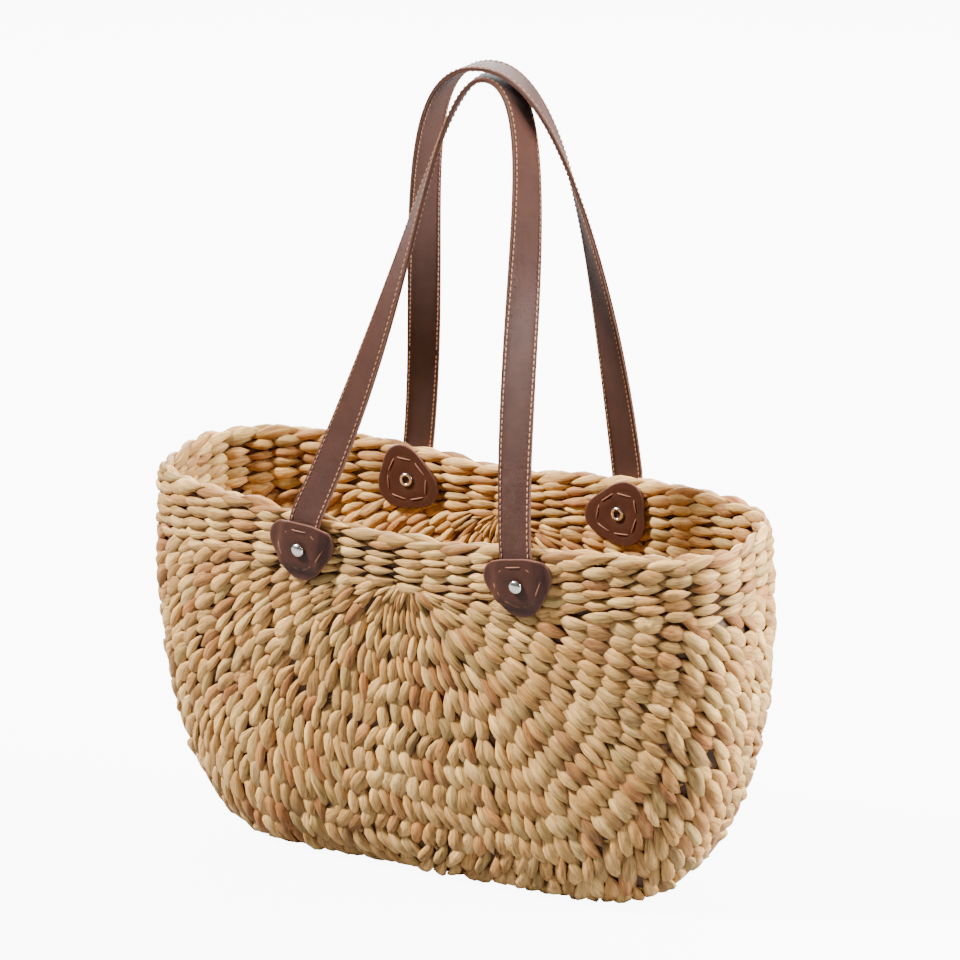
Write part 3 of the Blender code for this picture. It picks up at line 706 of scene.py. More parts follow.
@dataclass
class BagShape:
    """The bag's outer surface, driven by the boxes of its packed walls."""

    base_half_length: float = 0.49  # as a share of the half width
    belly_share: float = 0.747  # where the bag is widest, as a share of its height
    lower_corner_power: float = 2.3
    side_power: float = 3.2
    base_power: float = 4.2
    base_flattening: float = 0.010
    fan_half_span: float = 0.0115
    depth_gain: float = 0.011  # how much deeper each half is at the mouth than at the base
    mouth_tuck: float = 0.005
    rim_dip: float = 0.009
    rim_dip_reach: float = 0.085
    wall: float = 0.010
    braid_radius: float = 0.0048
    rim_half_depth: float = 0.087

    def __post_init__(self) -> None:
        """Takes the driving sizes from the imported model."""
        self.half_width_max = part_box("gusset")[1].x
        self.fan_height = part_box("rim_band")[0].z
        self.rim_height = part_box("rim_braid")[1].z
        self.belly_height = self.belly_share * self.rim_height

    def half_width(self, z: np.ndarray) -> np.ndarray:
        """Half of the bag's width at a height, at the middle of its end."""
        climbed = (z - self.belly_height) / (self.rim_height - self.belly_height)
        drop = np.clip((self.belly_height - z) / (self.belly_height + self.base_flattening), 0.0, 1.0)
        bulge = (1.0 - drop**self.lower_corner_power) ** (1.0 / self.lower_corner_power)
        base = self.base_half_length * self.half_width_max
        above = self.half_width_max - self.mouth_tuck * climbed
        return np.where(z >= self.belly_height, above, base + (self.half_width_max - base) * bulge)

    def half_depth(self, z: np.ndarray) -> np.ndarray:
        """Half of the bag's depth at a height, in the middle of its length."""
        return self.rim_half_depth - self.depth_gain * (1.0 - np.maximum(0.0, z) / self.rim_height)

    def wall_depth(self, x: np.ndarray, z: np.ndarray) -> np.ndarray:
        """How far the outer surface is from the bag's middle plane, near the mouth."""
        span = self.fan_half_span
        out = np.maximum(0.0, np.abs(x) - span) / (self.half_width(z) - span)
        return self.half_depth(z) * np.maximum(0.0, 1.0 - out**self.side_power) ** (1.0 / self.side_power)

    def section(self, angle: np.ndarray, power: np.ndarray) -> tuple[np.ndarray, np.ndarray]:
        """A point on the squared-off section, as shares out and of the depth."""
        c, s = np.cos(angle), np.sin(angle)
        reach = (np.abs(c) ** power + np.abs(s) ** power) ** (-1.0 / power)
        return reach * np.abs(c), reach * s

    def pressed_flat(self, z: np.ndarray) -> np.ndarray:
        """A height once the bag stands on the ground, with a soft turn round its flat bottom."""
        flat = self.base_flattening
        soft = 0.7 * flat
        rest = (math.hypot(0.6 * flat, soft) - 0.6 * flat) / 2
        lifted = (z + np.hypot(z, soft)) / 2 - rest
        return np.where(z < 4 * flat, np.maximum(0.0, lifted), z + (lifted - z) * np.exp(1 - z / (4 * flat)))

    def outline(self, count: int) -> np.ndarray:
        """Evenly spaced (x, z) points down one end of the bag, along its bottom and up the other end."""
        bottom, base = -self.base_flattening, self.base_half_length * self.half_width_max
        turn = np.radians(np.linspace(0.0, 90.0, 60))
        power = 2 / self.lower_corner_power
        x = base + (self.half_width_max - base) * np.sin(turn) ** power
        z = self.belly_height - (self.belly_height - bottom) * np.maximum(0.0, np.cos(turn)) ** power
        top = (float(self.half_width(np.array(self.fan_height))), self.fan_height)
        half = np.array([(0.0, bottom), *zip(x, z), top])
        whole = np.concatenate([(half * [-1, 1])[::-1], half[1:]])
        return evenly(whole, count)

    def fan_sheet(self, rows: int = 260, columns: int = 321) -> Sheet:
        """The surface below the level rows: across runs round the outline, along from front to back."""
        line = self.outline(rows)
        row = np.linspace(0.0, 1.0, rows)
        middle = self.fan_half_span * (2.0 * row - 1.0)
        sideways = np.minimum(1.0, np.abs(line[:, 0] - middle) / (self.half_width_max - self.fan_half_span))
        power = self.base_power + (self.side_power - self.base_power) * sideways**2
        angle = np.radians(np.linspace(-90.0, 90.0, 721))
        out, deep = self.section(angle[None], power[:, None])
        z = self.fan_height + (line[:, 1:] - self.fan_height) * out
        x = middle[:, None] + (line[:, :1] - middle[:, None]) * out
        points = np.stack([x, self.half_depth(z) * deep, self.pressed_flat(z)], axis=2)
        return Sheet(np.array([evenly(row_points, columns) for row_points in points]))

    def mouth_sheet(self, rows: int = 9, columns: int = 721) -> Sheet:
        """The surface of the level rows: across runs up, along runs round the mouth from the right end."""
        angle = np.radians(np.linspace(0.0, 360.0, 1441))
        out, deep = self.section(angle, np.full_like(angle, self.side_power))
        end = np.sign(np.cos(angle))
        reach = float(self.half_width(np.array(self.fan_height))) - self.fan_half_span
        low = self.fan_half_span + reach * out
        top = self.rim_at(low) - 2 * self.braid_radius
        share = np.linspace(0.0, 1.0, rows)[:, None]
        z = self.fan_height + (top - self.fan_height)[None] * share
        x = self.fan_half_span + (self.half_width(z) - self.fan_half_span) * out
        points = np.stack([end * x, self.half_depth(z) * deep, z], axis=2)
        return Sheet(np.array([evenly(row_points, columns) for row_points in points]), closed=True)

    def rim_at(self, x: np.ndarray) -> np.ndarray:
        """The height of the mouth's top edge, which dips between the handles."""
        return self.rim_height - self.rim_dip * np.exp(-((x / self.rim_dip_reach) ** 2))


# ---------------------------------------------------------------- the weave


@dataclass(frozen=True)
class StrandPass:
    """One pass of a strand over one stake: a plump stem with narrow ends that dive between the stakes."""

    sides: int = 8
    # Place along the pass, and the width and the thickness there as shares of the fullest.
    rings: tuple[tuple[float, float, float], ...] = (
        (-0.79, 0.06, 0.18),
        (-0.65, 0.30, 0.46),
        (-0.47, 0.60, 0.74),
        (-0.18, 1.00, 1.00),
        (0.12, 1.00, 1.00),
        (0.42, 0.66, 0.78),
        (0.62, 0.32, 0.48),
        (0.78, 0.06, 0.18),
    )

    def model(self) -> Blank:
        """Models the pass, one stake step long and one across."""
        length = self.rings[-1][0] - self.rings[0][0]
        middle = (self.rings[-1][0] + self.rings[0][0]) / 2
        start_rod(self.sides, length, middle)
        slice_at([ring[0] for ring in self.rings[1:-1]], 0)
        for place, width, thickness in self.rings:
            pick(lambda co, place=place: abs(co.x - place) < NEAR)
            bpy.ops.transform.resize(value=(1.0, width, thickness))
        return Blank.of(bpy.context.object)


@dataclass
class Passes:
    """Where many passes go: one entry each in every array."""

    along: np.ndarray  # place of the middle along the row
    step: np.ndarray  # the stake step, in the same measure
    before: np.ndarray  # the row's place across the sheet one stake before
    here: np.ndarray
    after: np.ndarray
    pitch: np.ndarray  # the row's own height in metres
    face: np.ndarray  # 1 outside the wall, -1 inside
    twist: np.ndarray

    def chosen(self, mask: np.ndarray) -> "Passes":
        """The passes where the mask is true."""
        return Passes(**{name: getattr(self, name)[mask] for name in self.__dataclass_fields__})


@dataclass
class Weaver:
    """Lays passes on a sheet with the small differences of hand work."""

    blank: Blank
    wall: float
    seed: int
    swing: float = 0.30  # how far a strand goes from side to side of its row, as a share of the row's pitch
    rise: float = 0.0030  # how far a strand goes in and out of the wall's middle
    fullness: float = 1.22  # a strand's fullest width over its row's pitch
    thickness: float = 0.0060
    reach: float = 1.0  # a pass's length over the blank's
    base: Colour = (0.49, 0.265, 0.076)
    pale: Colour = (0.76, 0.52, 0.20)
    rust: Colour = (0.33, 0.115, 0.030)
    olive: Colour = (0.42, 0.29, 0.095)
    pressed_at: tuple[Vector, ...] = ()  # where a patch holds the strands down
    press_reach: float = 0.029
    press_height: float = 0.0051
    press_lift: float = 0.004  # how much higher the strands may stand once clear of the patch
    press_fade: float = 0.012
    free_height: float = 0.02  # more than any strand stands off the wall's middle
    tone_spread: float = 0.15

    def tones(self, rng: np.random.Generator, count: int) -> np.ndarray:
        """A colour for each of many passes: mostly straw, some pale, rusty or greenish."""
        mix = rng.random(count)[:, None]
        colour = np.array(self.base) * (1 - mix * 0.6) + np.array(self.pale) * mix * 0.6
        kind = rng.random(count)
        depth = rng.random(count)[:, None]
        for low, high, other, most in (
            (0.0, 0.18, self.rust, 0.75),
            (0.18, 0.30, self.pale, 1.0),
            (0.30, 0.40, self.olive, 0.9),
        ):
            mask = ((kind >= low) & (kind < high))[:, None]
            share = most * (0.35 + 0.65 * depth)
            colour = np.where(mask, colour * (1 - share) + np.array(other) * share, colour)
        return colour * rng.normal(1.0, self.tone_spread, count).clip(0.62, 1.3)[:, None]

    def held_down(self, point: np.ndarray, height: np.ndarray) -> np.ndarray:
        """Heights about the wall's middle, kept under a patch where one lies."""
        most = np.full(height.shape, self.free_height)
        for spot in self.pressed_at:
            away = np.linalg.norm(point - np.array(spot), axis=-1)
            freed = smooth_step((away - self.press_reach) / self.press_fade)
            most = np.minimum(most, self.press_height + self.press_lift * freed)
        return np.clip(height, -most, most)

    def lay(
        self, name: str, sheet: Sheet, passes: Passes, look: bpy.types.Material, across: float = 0.0
    ) -> bpy.types.Object:
        """Makes one woven piece.

        Args:
            name: The piece's name.
            sheet: The surface that the rows follow.
            passes: Where the passes go.
            look: The material.
            across: A shift of every row across the sheet, in metres.

        Returns:
            The piece.
        """
        rng = np.random.default_rng(self.seed)
        count = len(passes.along)
        unit = self.blank.points

        def vary(spread: float, limit: float = 2.0) -> np.ndarray:
            """A column of differences about nothing."""
            return (rng.normal(0.0, 1.0, count).clip(-limit, limit) * spread)[:, None]

        x = unit[None, :, 0] * self.reach * (1.0 + vary(0.08)) + vary(0.09)
        width = passes.pitch[:, None] * self.fullness * (1.0 + vary(0.12))
        thick = self.thickness * (1.0 + vary(0.09))
        y, z = unit[None, :, 1] * width, unit[None, :, 2] * thick
        # One end of a stem is often fuller than the other.
        y = y * (1.0 + vary(0.22) * unit[None, :, 0])
        # A fold or two runs along the top of most stems.
        fold = np.abs(rng.normal(0.0, 0.2, count)).clip(0.0, 0.5)[:, None]
        ridge = np.exp(-((unit[None, :, 1] / 0.15 + vary(0.6)) ** 2))
        ridge = ridge * np.exp(-((unit[None, :, 0] / 0.42) ** 2))
        z = z * (1.0 - fold * ridge)
        roll = np.radians(vary(12.0))
        y, z = y * np.cos(roll) - z * np.sin(roll), y * np.sin(roll) + z * np.cos(roll)
        turn = passes.twist[:, None] * passes.face[:, None]
        swing = self.swing * (1.0 + vary(0.18)) * passes.pitch[:, None]
        w = y + vary(0.0005) + across + turn * swing * np.sin(math.pi * np.clip(x / 1.6, -0.5, 0.5))
        lift = np.cos(math.pi * 0.62 * x)
        h = z + vary(0.0004) + passes.face[:, None] * self.rise * (1.0 + vary(0.14)) * lift
        beyond = np.where(x < 0.0, passes.before[:, None], passes.after[:, None])
        row = passes.here[:, None] + np.abs(x) * (beyond - passes.here[:, None])
        along = passes.along[:, None] + x * passes.step[:, None]
        point, out, _, side = sheet.sample(row, along)
        h = self.held_down(point, h)
        places = point - out * self.wall / 2 + side * w[..., None] + out * h[..., None]
        places[..., 2] = np.maximum(places[..., 2], 0.0)
        tone = np.repeat(self.tones(rng, count)[:, None], len(unit), axis=1)
        # Where the ends dive between the stakes; the finish darkens them there with painted shade.
        dive = np.clip((np.abs(x) - 0.50) / 0.30, 0.0, 1.0) ** 1.2
        uvs = self.blank.uvs[None] * [2.3, 2.6] + rng.random((count, 1, 2)) * 40.0
        uvs[..., 1] += 0.25 * self.blank.uvs[None, :, 0] * rng.normal(0.0, 1.0, (count, 1))
        return build_mesh(name, self.blank, places, uvs, "stem", look, {"tone": tone, "dive": dive})


@dataclass
class Basket:
    """The woven body: a fan on each wall, the gusset between, the level rows and the braid."""

    shape: BagShape
    blank: Blank
    stake_count: int = 31
    panel_stakes: int = 11
    fan_rows: int = 82
    # Stakes from the middle of a panel at which rows are added, and the rows' height there.
    fan_rings: tuple[tuple[int, float], ...] = (
        *((0, 0.0080), (1, 0.0082)),
        *((3, 0.0090), (6, 0.0096), (9, 0.0102)),
    )
    mouth_rows: int = 5
    mouth_stakes: int = 56
    braid_stitches: int = 44
    shade_sheet_thickness: float = 0.0016
    pressed_at: tuple[Vector, ...] = ()

    def fan_passes(self, sheet: Sheet) -> tuple[Passes, np.ndarray]:
        """All the passes of the fan rows.

        New rows begin wherever the rows have spread far enough apart for one more.

        Args:
            sheet: The fan's surface.

        Returns:
            The passes, and the stake that each crosses.
        """
        count = self.stake_count
        middles = (np.arange(count) + 0.5) / count
        steps = np.linspace(0.0, 1.0, 400)
        girths = []
        for at in middles:
            line = sheet.sample(steps, np.full_like(steps, at))[0]
            girths.append(distances(line)[-1])
        from_centre = np.minimum(np.arange(count), np.arange(count)[::-1])
        rows_here = np.zeros(count, int)
        for first, pitch in self.fan_rings:
            ring = from_centre >= first
            girth = np.array(girths)[ring & (from_centre < first + 4)].mean()
            rows_here[ring] = min(self.fan_rows, round(girth / pitch))
        order = (0.5 + 0.6180339887 * np.arange(self.fan_rows)) % 1.0
        place = np.full((self.fan_rows, count), np.nan)
        for stake, rows in enumerate(rows_here):
            ranked = np.argsort(order[:rows])
            place[ranked, stake] = (np.arange(rows) + 0.5) / rows
        columns: dict[str, list[float]] = {name: [] for name in Passes.__dataclass_fields__}
        stakes = []
        for row in range(self.fan_rows):
            for stake in np.flatnonzero(~np.isnan(place[row])):
                middle, rows = place[row, stake], rows_here[stake]
                near = []
                for k in (stake - 1, stake + 1):
                    met = 0 <= k < count and not np.isnan(place[row, k])
                    near.append(place[row, k] if met else middle)
                # The passes over one stake lie between those over the next.
                aside = (0.25 if stake % 2 else -0.25) / rows
                for face in (1.0, -1.0):
                    values = {
                        "along": middles[stake] + 0.42 * (order[row] * 7.0 % 1.0 - 0.5) / count,
                        "step": 1.0 / count,
                        "before": near[0] + aside,
                        "here": middle + aside,
                        "after": near[1] + aside,
                        "pitch": girths[stake] / rows,
                        "face": face,
                        "twist": self.fan_slant(middle, stake),
                    }
                    for name, value in values.items():
                        columns[name].append(value)
                    stakes.append(stake)
        return Passes(**{name: np.array(values) for name, values in columns.items()}), np.array(stakes)

    def fan_slant(self, place: float, stake: int) -> float:
        """How far a pass leans across its row, as a share of the row's pitch.

        The rows right of the middle run nearly straight, those left of it and at the bag's ends lean, and
        those in the middle lean by turns, like an ear of wheat.
        """
        if not self.panel_stakes <= stake < self.stake_count - self.panel_stakes:
            if abs(place - 0.5) < 0.11:
                return 0.26 * (Twist.S if stake % 2 else Twist.Z).value
            if place > 0.5:
                return 0.08 * Twist.Z.value
        return 0.60 * (Twist.S if place < 0.5 else Twist.Z).value

    def mouth_passes(self, sheet: Sheet) -> Passes:
        """The passes of the level rows."""
        counts = np.arange(self.mouth_rows), np.arange(self.mouth_stakes)
        row, stake, face = (v.reshape(-1) for v in np.meshgrid(*counts, (1.0, -1.0), indexing="ij"))
        along = stake + 0.5 + 0.5 * np.sin(3.0 * stake * 2 * math.pi / self.mouth_stakes)
        along = along / self.mouth_stakes
        low, high = (sheet.sample(np.full_like(along, v), along)[0] for v in (0.0, 1.0))
        pitch = np.linalg.norm(high - low, axis=1) / self.mouth_rows
        here = 0.5 + 1.07 * ((row + 0.5 + 0.25 * (-1.0) ** stake) / self.mouth_rows - 0.5)
        ones = np.ones_like(along)
        return Passes(along, ones / self.mouth_stakes, here, here, here, pitch, face, ones * Twist.S.value)

    def braid_passes(self) -> Passes:
        """The passes of the two-strand braid on the top edge."""
        stitch, face = np.meshgrid(np.arange(self.braid_stitches), (1.0, -1.0), indexing="ij")
        along = (stitch.reshape(-1) + 0.5) / self.braid_stitches
        ones = np.ones_like(along)
        pitch = ones * 2 * self.shape.braid_radius
        step, twist = ones / self.braid_stitches, ones * Twist.S.value
        return Passes(along, step, ones, ones, ones, pitch, face.reshape(-1), twist)

    def core(self, name: str, sheet: Sheet) -> bpy.types.Object:
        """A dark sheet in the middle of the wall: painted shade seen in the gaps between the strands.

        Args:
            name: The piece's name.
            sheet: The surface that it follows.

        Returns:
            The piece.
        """
        start_mesh(bpy.ops.mesh.primitive_grid_add, x_subdivisions=72, y_subdivisions=96, size=1.0)
        bpy.ops.object.mode_set(mode="OBJECT")
        made = bpy.context.object
        made.name = made.data.name = name
        points = points_of(made)
        point, out, _, _ = sheet.sample(points[:, 0] + 0.5, points[:, 1] + 0.5)
        move_points(made, point - out * self.shape.wall / 2)
        made.data.uv_layers[0].name = "stem"
        paint(made.data, "tone", np.tile(GAP_SHADE_TONE, (len(points), 1)))
        paint(made.data, "dive", np.zeros(len(points)))
        thick = made.modifiers.new("thickness", "SOLIDIFY")
        thick.thickness, thick.offset = self.shade_sheet_thickness, 0.0
        bpy.ops.object.modifier_apply(modifier=thick.name)
        bpy.ops.object.mode_set(mode="EDIT")
        bpy.ops.mesh.select_all(action="SELECT")
        if sheet.closed:
            bpy.ops.mesh.remove_doubles(threshold=1e-5)
        bpy.ops.mesh.normals_make_consistent(inside=False)
        bpy.ops.object.mode_set(mode="OBJECT")
        bpy.ops.object.shade_smooth()
        made.data.materials.append(STEMS.material())
        return made

    def build(self) -> None:
        """Weaves every piece and puts it in place of its plain wall."""
        fan, mouth = self.shape.fan_sheet(), self.shape.mouth_sheet()
        weaver = Weaver(
            self.blank, self.shape.wall, seed=21, swing=1.0, reach=1.10, pressed_at=self.pressed_at
        )
        passes, stakes = self.fan_passes(fan)
        last = self.stake_count - self.panel_stakes
        parts = {
            "front_panel": stakes < self.panel_stakes,
            "gusset": (stakes >= self.panel_stakes) & (stakes < last),
            "back_panel": stakes >= last,
        }
        made = []
        for number, (node, mask) in enumerate(parts.items()):
            weaver.seed = 21 + number
            woven = weaver.lay("woven_" + node, fan, passes.chosen(mask), STEMS.material())
            made.append(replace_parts(woven, node))
        weaver.seed, weaver.swing, weaver.fullness, weaver.reach = 31, 0.13, 1.20, 1.0
        band = weaver.lay("woven_rim_band", mouth, self.mouth_passes(mouth), STEMS.material())
        rope = Weaver(
            self.blank, self.shape.wall, seed=41, swing=0.24, rise=0.0022, fullness=1.0, thickness=0.0062
        )
        above = 0.86 * self.shape.braid_radius
        braid = rope.lay("woven_rim_braid", mouth, self.braid_passes(), RIM_STEMS.material(), across=above)
        made += [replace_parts(band, "rim_band"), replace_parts(braid, "rim_braid")]
        # Dark sheets in the wall's middle give painted shade in the gaps between the strands.
        made += [self.core("fan_shade_sheet", fan), self.core("band_shade_sheet", mouth)]
        for piece in made:
            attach(piece, "basket")


# ---------------------------------------------------------------- patches, rivets and stitches


@dataclass(frozen=True)
class Stitch:
    """One straight stitch: a round thread whose ends dip into the leather."""

    sides: int = 6

    def model(self) -> Blank:
        """Models the stitch one unit long and one across."""
        start_rod(self.sides, 1.0)
        slice_at([-0.42, -0.28, 0.28, 0.42], 0)
        for place, share in ((0.5, 0.55), (0.42, 0.85)):
            pick(lambda co, place=place: abs(abs(co.x) - place) < NEAR)
            bpy.ops.transform.resize(value=(1.0, share, share))
        return Blank.of(bpy.context.object)

    @staticmethod
    def laid(
        blank: Blank, starts: np.ndarray, ends: np.ndarray, outs: np.ndarray, radius: float
    ) -> tuple[np.ndarray, np.ndarray]:
        """Copies of the stitch between pairs of points on a surface.

        Args:
            blank: The modelled stitch.
            starts: Where each begins.
            ends: Where each ends.
            outs: The way out of the surface at each.
            radius: The thread's radius.

        Returns:
            The points of each copy and its UVs in centimetres.
        """
        unit = blank.points
        run = ends - starts
        length = np.linalg.norm(run, axis=1, keepdims=True)
        outs = outs - run * np.sum(outs * run, axis=1, keepdims=True) / length**2
        outs = outs / np.linalg.norm(outs, axis=1, keepdims=True)
        side = np.cross(outs, run / length)
        dip = 1.0 - 2.3 * smooth_step((np.abs(unit[:, 0]) - 0.30) / 0.2)
        middle = (starts + ends)[:, None] / 2 + run[:, None] * unit[None, :, :1]
        height = radius * (0.95 * dip[None, :, None] + 2 * unit[None, :, 2:])
        places = middle + side[:, None] * (2 * radius * unit[None, :, 1:2]) + outs[:, None] * height
        # In centimetres: the length, and the part of the thread's girth.
        along = blank.uvs[None, :, 0] * length * 100
        around = np.repeat(blank.uvs[None, :, 1], len(starts), 0) * radius * 628
        return places, np.stack([along, around], axis=2)


@dataclass
class Attachment:
    """What holds one foot of a handle on the wall: two patches, their stitches, a rivet and a ring."""

    shape: BagShape
    side: Side
    hand: Hand
    patch_radius: float = 0.025
    patch_corners: float = 0.11
    patch_squash: float = 0.90
    patch_thickness: float = 0.0020
    patch_seat: float = 0.0007
    rim_round: float = 0.0007
    crown: float = 0.0005
    strap_width: float = 0.024
    strap_front: float = 0.0038
    strap_end_below: float = 0.010
    layer_gap: float = 0.0003
    stitches: int = 7
    stitch_inset: float = 0.72
    stitch_gap: float = 0.07  # from a corner of the sewn line to a stitch's end, as a share of its side
    thread_radius: float = 0.0005
    head_radius: float = 0.0049
    head_height: float = 0.0026
    ring_radius: float = 0.0051
    # The rings of a patch's face, from its edge in. They are closest together at the stitches' furrow.
    face_steps: tuple[float, ...] = (
        *(0.0015, 0.0015, 0.0016, 0.0012, 0.0012, 0.0012),
        *(0.0018, 0.0022, 0.0024, 0.0022, 0.0022, 0.0020),
    )
    lean: float = field(init=False)  # how far the strap leans along the wall for each metre up
    outer_turn: float = field(init=False)
    inner_turn: float = field(init=False)

    def __post_init__(self) -> None:
        """Finds the rivet's place and the wall's directions there."""
        key = (self.side, self.hand)
        leans = {
            (Side.FRONT, Hand.LEFT): (0.179, -3.0, 12.0),
            (Side.FRONT, Hand.RIGHT): (-0.0815, 9.0, -20.0),
            (Side.BACK, Hand.LEFT): (0.1085, 4.0, 48.0),
            (Side.BACK, Hand.RIGHT): (0.001, -6.0, -38.0),
        }
        lean, outer, inner = leans[key]
        self.outer_turn, self.inner_turn = math.radians(outer), math.radians(inner)
        self.name = f"{self.side.name}_{self.hand.name}".lower()
        low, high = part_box(self.name + "_rivet")
        middle = (Vector(low) + Vector(high)) / 2
        x, z, step = abs(middle.x), middle.z, 1e-3

        def depth(along: float, height: float) -> float:
            """The wall's depth at a place."""
            return float(self.shape.wall_depth(along, height))

        run = (depth(x + step, z) - depth(x - step, z)) / (2 * step)
        slope = (depth(x, z + step) - depth(x, z - step)) / (2 * step)
        self.out = Vector((-run * self.hand.value, self.side.value, -slope)).normalized()
        self.level = Vector((0, 0, 1)).cross(self.out).normalized()
        self.up = self.out.cross(self.level)
        self.spot = Vector((middle.x, self.side.value * depth(x, z), z))
        self.lean = lean * (1 if self.level.x > 0 else -1)

    def outline(self, angle: np.ndarray, share: np.ndarray | float = 1.0) -> tuple[np.ndarray, np.ndarray]:
        """Points of a patch's outline about its rivet: a rounded triangle with a corner down."""
        r = share * self.patch_radius * (1 + self.patch_corners * np.cos(3 * (angle + math.pi / 2)))
        return r * np.cos(angle), self.patch_squash * r * np.sin(angle)

    @property
    def patch_top(self) -> float:
        """How far a patch reaches above its rivet."""
        return float(self.outline(np.array(math.pi / 2))[1])

    def wall_rise(self, x: np.ndarray, y: np.ndarray) -> np.ndarray:
        """How far the curved wall stands out of the rivet's own level."""
        p = np.array(self.spot) + x[..., None] * np.array(self.level) + y[..., None] * np.array(self.up)
        return (self.shape.wall_depth(p[..., 0], p[..., 2]) - np.abs(p[..., 1])) * abs(self.out.y)

    def outer_back(self, x: np.ndarray, y: np.ndarray) -> np.ndarray:
        """The height of the outer patch's back, which passes over the end of the strap."""
        raise_by = self.strap_front + 2 * self.layer_gap - self.patch_seat
        clear = self.strap_width / 2 + 0.0022
        across = 1.0 - smooth_step((np.abs(x - self.lean * np.maximum(0.0, y)) - clear) / 0.007)
        along = 1.0 - smooth_step((-self.strap_end_below - 0.0015 - y) / 0.007)
        return self.wall_rise(x, y) + self.patch_seat + raise_by * across * along

    def inner_back(self, x: np.ndarray, y: np.ndarray) -> np.ndarray:
        """The depth of the inner patch's back behind the wall's outer surface."""
        return -(self.wall_rise(x, y) - self.shape.wall - self.patch_seat)

    def world(self, x: np.ndarray, y: np.ndarray, z: np.ndarray) -> np.ndarray:
        """World places of points given along the wall, up it and out of it."""
        level, up, out = (np.array(v) for v in (self.level, self.up, self.out))
        return np.array(self.spot) + x[..., None] * level + y[..., None] * up + z[..., None] * out

    def relief(self, x: np.ndarray, y: np.ndarray, share: np.ndarray) -> np.ndarray:
        """The relief of a patch's face: a crown, a dip under the rivet and a furrow under the stitches."""
        r = np.hypot(x, y)
        dip = 0.0007 * np.exp(-((r / 0.0075) ** 4))
        furrow = 0.0003 * np.exp(-(((share - self.stitch_inset * 0.97) * self.patch_radius / 0.0012) ** 2))
        return self.crown * (1 - share**2) - dip - furrow

    def turned(self, x: np.ndarray, y: np.ndarray, turn: float) -> tuple[np.ndarray, np.ndarray]:
        """Places turned about the rivet."""
        c, s = math.cos(turn), math.sin(turn)
        return x * c - y * s, x * s + y * c

    def patch(self, name: str, turn: float, back: Callable, facing: float) -> bpy.types.Object:
        """Models one patch and lays it on the wall.

        Args:
            name: The piece's name.
            turn: How far it is turned about its rivet.
            back: The height of its back at a place.
            facing: 1 for the outside of the wall, -1 for the inside.

        Returns:
            The patch.
        """
        radius, thickness = self.patch_radius, self.patch_thickness
        made = start_mesh(bpy.ops.mesh.primitive_cylinder_add, vertices=72, radius=radius, depth=thickness)
        made.name = made.data.name = name
        for face in (1.0, -1.0):
            bpy.ops.mesh.select_mode(type="VERT")
            pick(lambda co, face=face: co.z * face > 0.0)
            bpy.ops.mesh.select_mode(type="FACE")
            for step in self.face_steps:
                bpy.ops.mesh.inset(thickness=step)
        bpy.ops.mesh.select_mode(type="VERT")
        pick(lambda co: math.hypot(co.x, co.y) > radius - 1e-5)
        bpy.ops.mesh.select_mode(type="EDGE")
        editing = bmesh.from_edit_mesh(made.data)
        for edge in editing.edges:
            a, b = edge.verts
            edge.select = edge.select and abs(a.co.z - b.co.z) < 1e-6
        bmesh.update_edit_mesh(made.data)
        bpy.ops.mesh.bevel(offset=self.rim_round, segments=3)
        bpy.ops.object.mode_set(mode="OBJECT")
        points = points_of(made)
        r, angle = np.hypot(points[:, 0], points[:, 1]) / radius, np.arctan2(points[:, 1], points[:, 0])
        x, y = self.turned(*self.outline(angle, r), turn)
        height = back(x, y) + thickness / 2 + points[:, 2]
        height = height + np.where(points[:, 2] > 0, self.relief(x, y, r), 0.0)
        if facing < 0:
            made.data.flip_normals()
        move_points(made, self.world(x, y, height * facing))
        # Each patch is cut from its own part of the hide.
        apart = 0.1 * self.hand.value + 0.3 * facing
        lay_on_hide(made.data, np.stack([x, y + 0.2 * points[:, 2]], axis=1) + apart)
        paint(made.data, "rim", np.clip((r - 0.955) / 0.035, 0.0, 1.0))
        made.data.update()
        bpy.ops.object.shade_smooth()
        made.data.materials.append(PATCH_HIDE.material())
        return made

    def stitching(
        self, name: str, blank: Blank, turn: float, back: Callable, facing: float
    ) -> bpy.types.Object:
        """The straight stitches of one patch."""
        angles = math.pi / 2 + math.pi * (2 * np.arange(self.stitches + 1) + 1) / self.stitches
        x, y = self.outline(angles, self.stitch_inset)
        share = self.stitch_gap
        ends = []
        for a, b in ((1 - share, share), (share, 1 - share)):
            px, py = x[:-1] * a + x[1:] * b, y[:-1] * a + y[1:] * b
            r = np.full(len(px), self.stitch_inset)
            tx, ty = self.turned(px, py, turn)
            h = back(tx, ty) + self.patch_thickness + self.relief(tx, ty, r)
            ends.append(self.world(tx, ty, h * facing))
        outs = np.tile(np.array(self.out) * facing, (self.stitches, 1))
        places, uvs = Stitch.laid(blank, ends[0], ends[1], outs, self.thread_radius)
        return build_mesh(name, blank, places, uvs, "stem", RUST_THREAD.material())

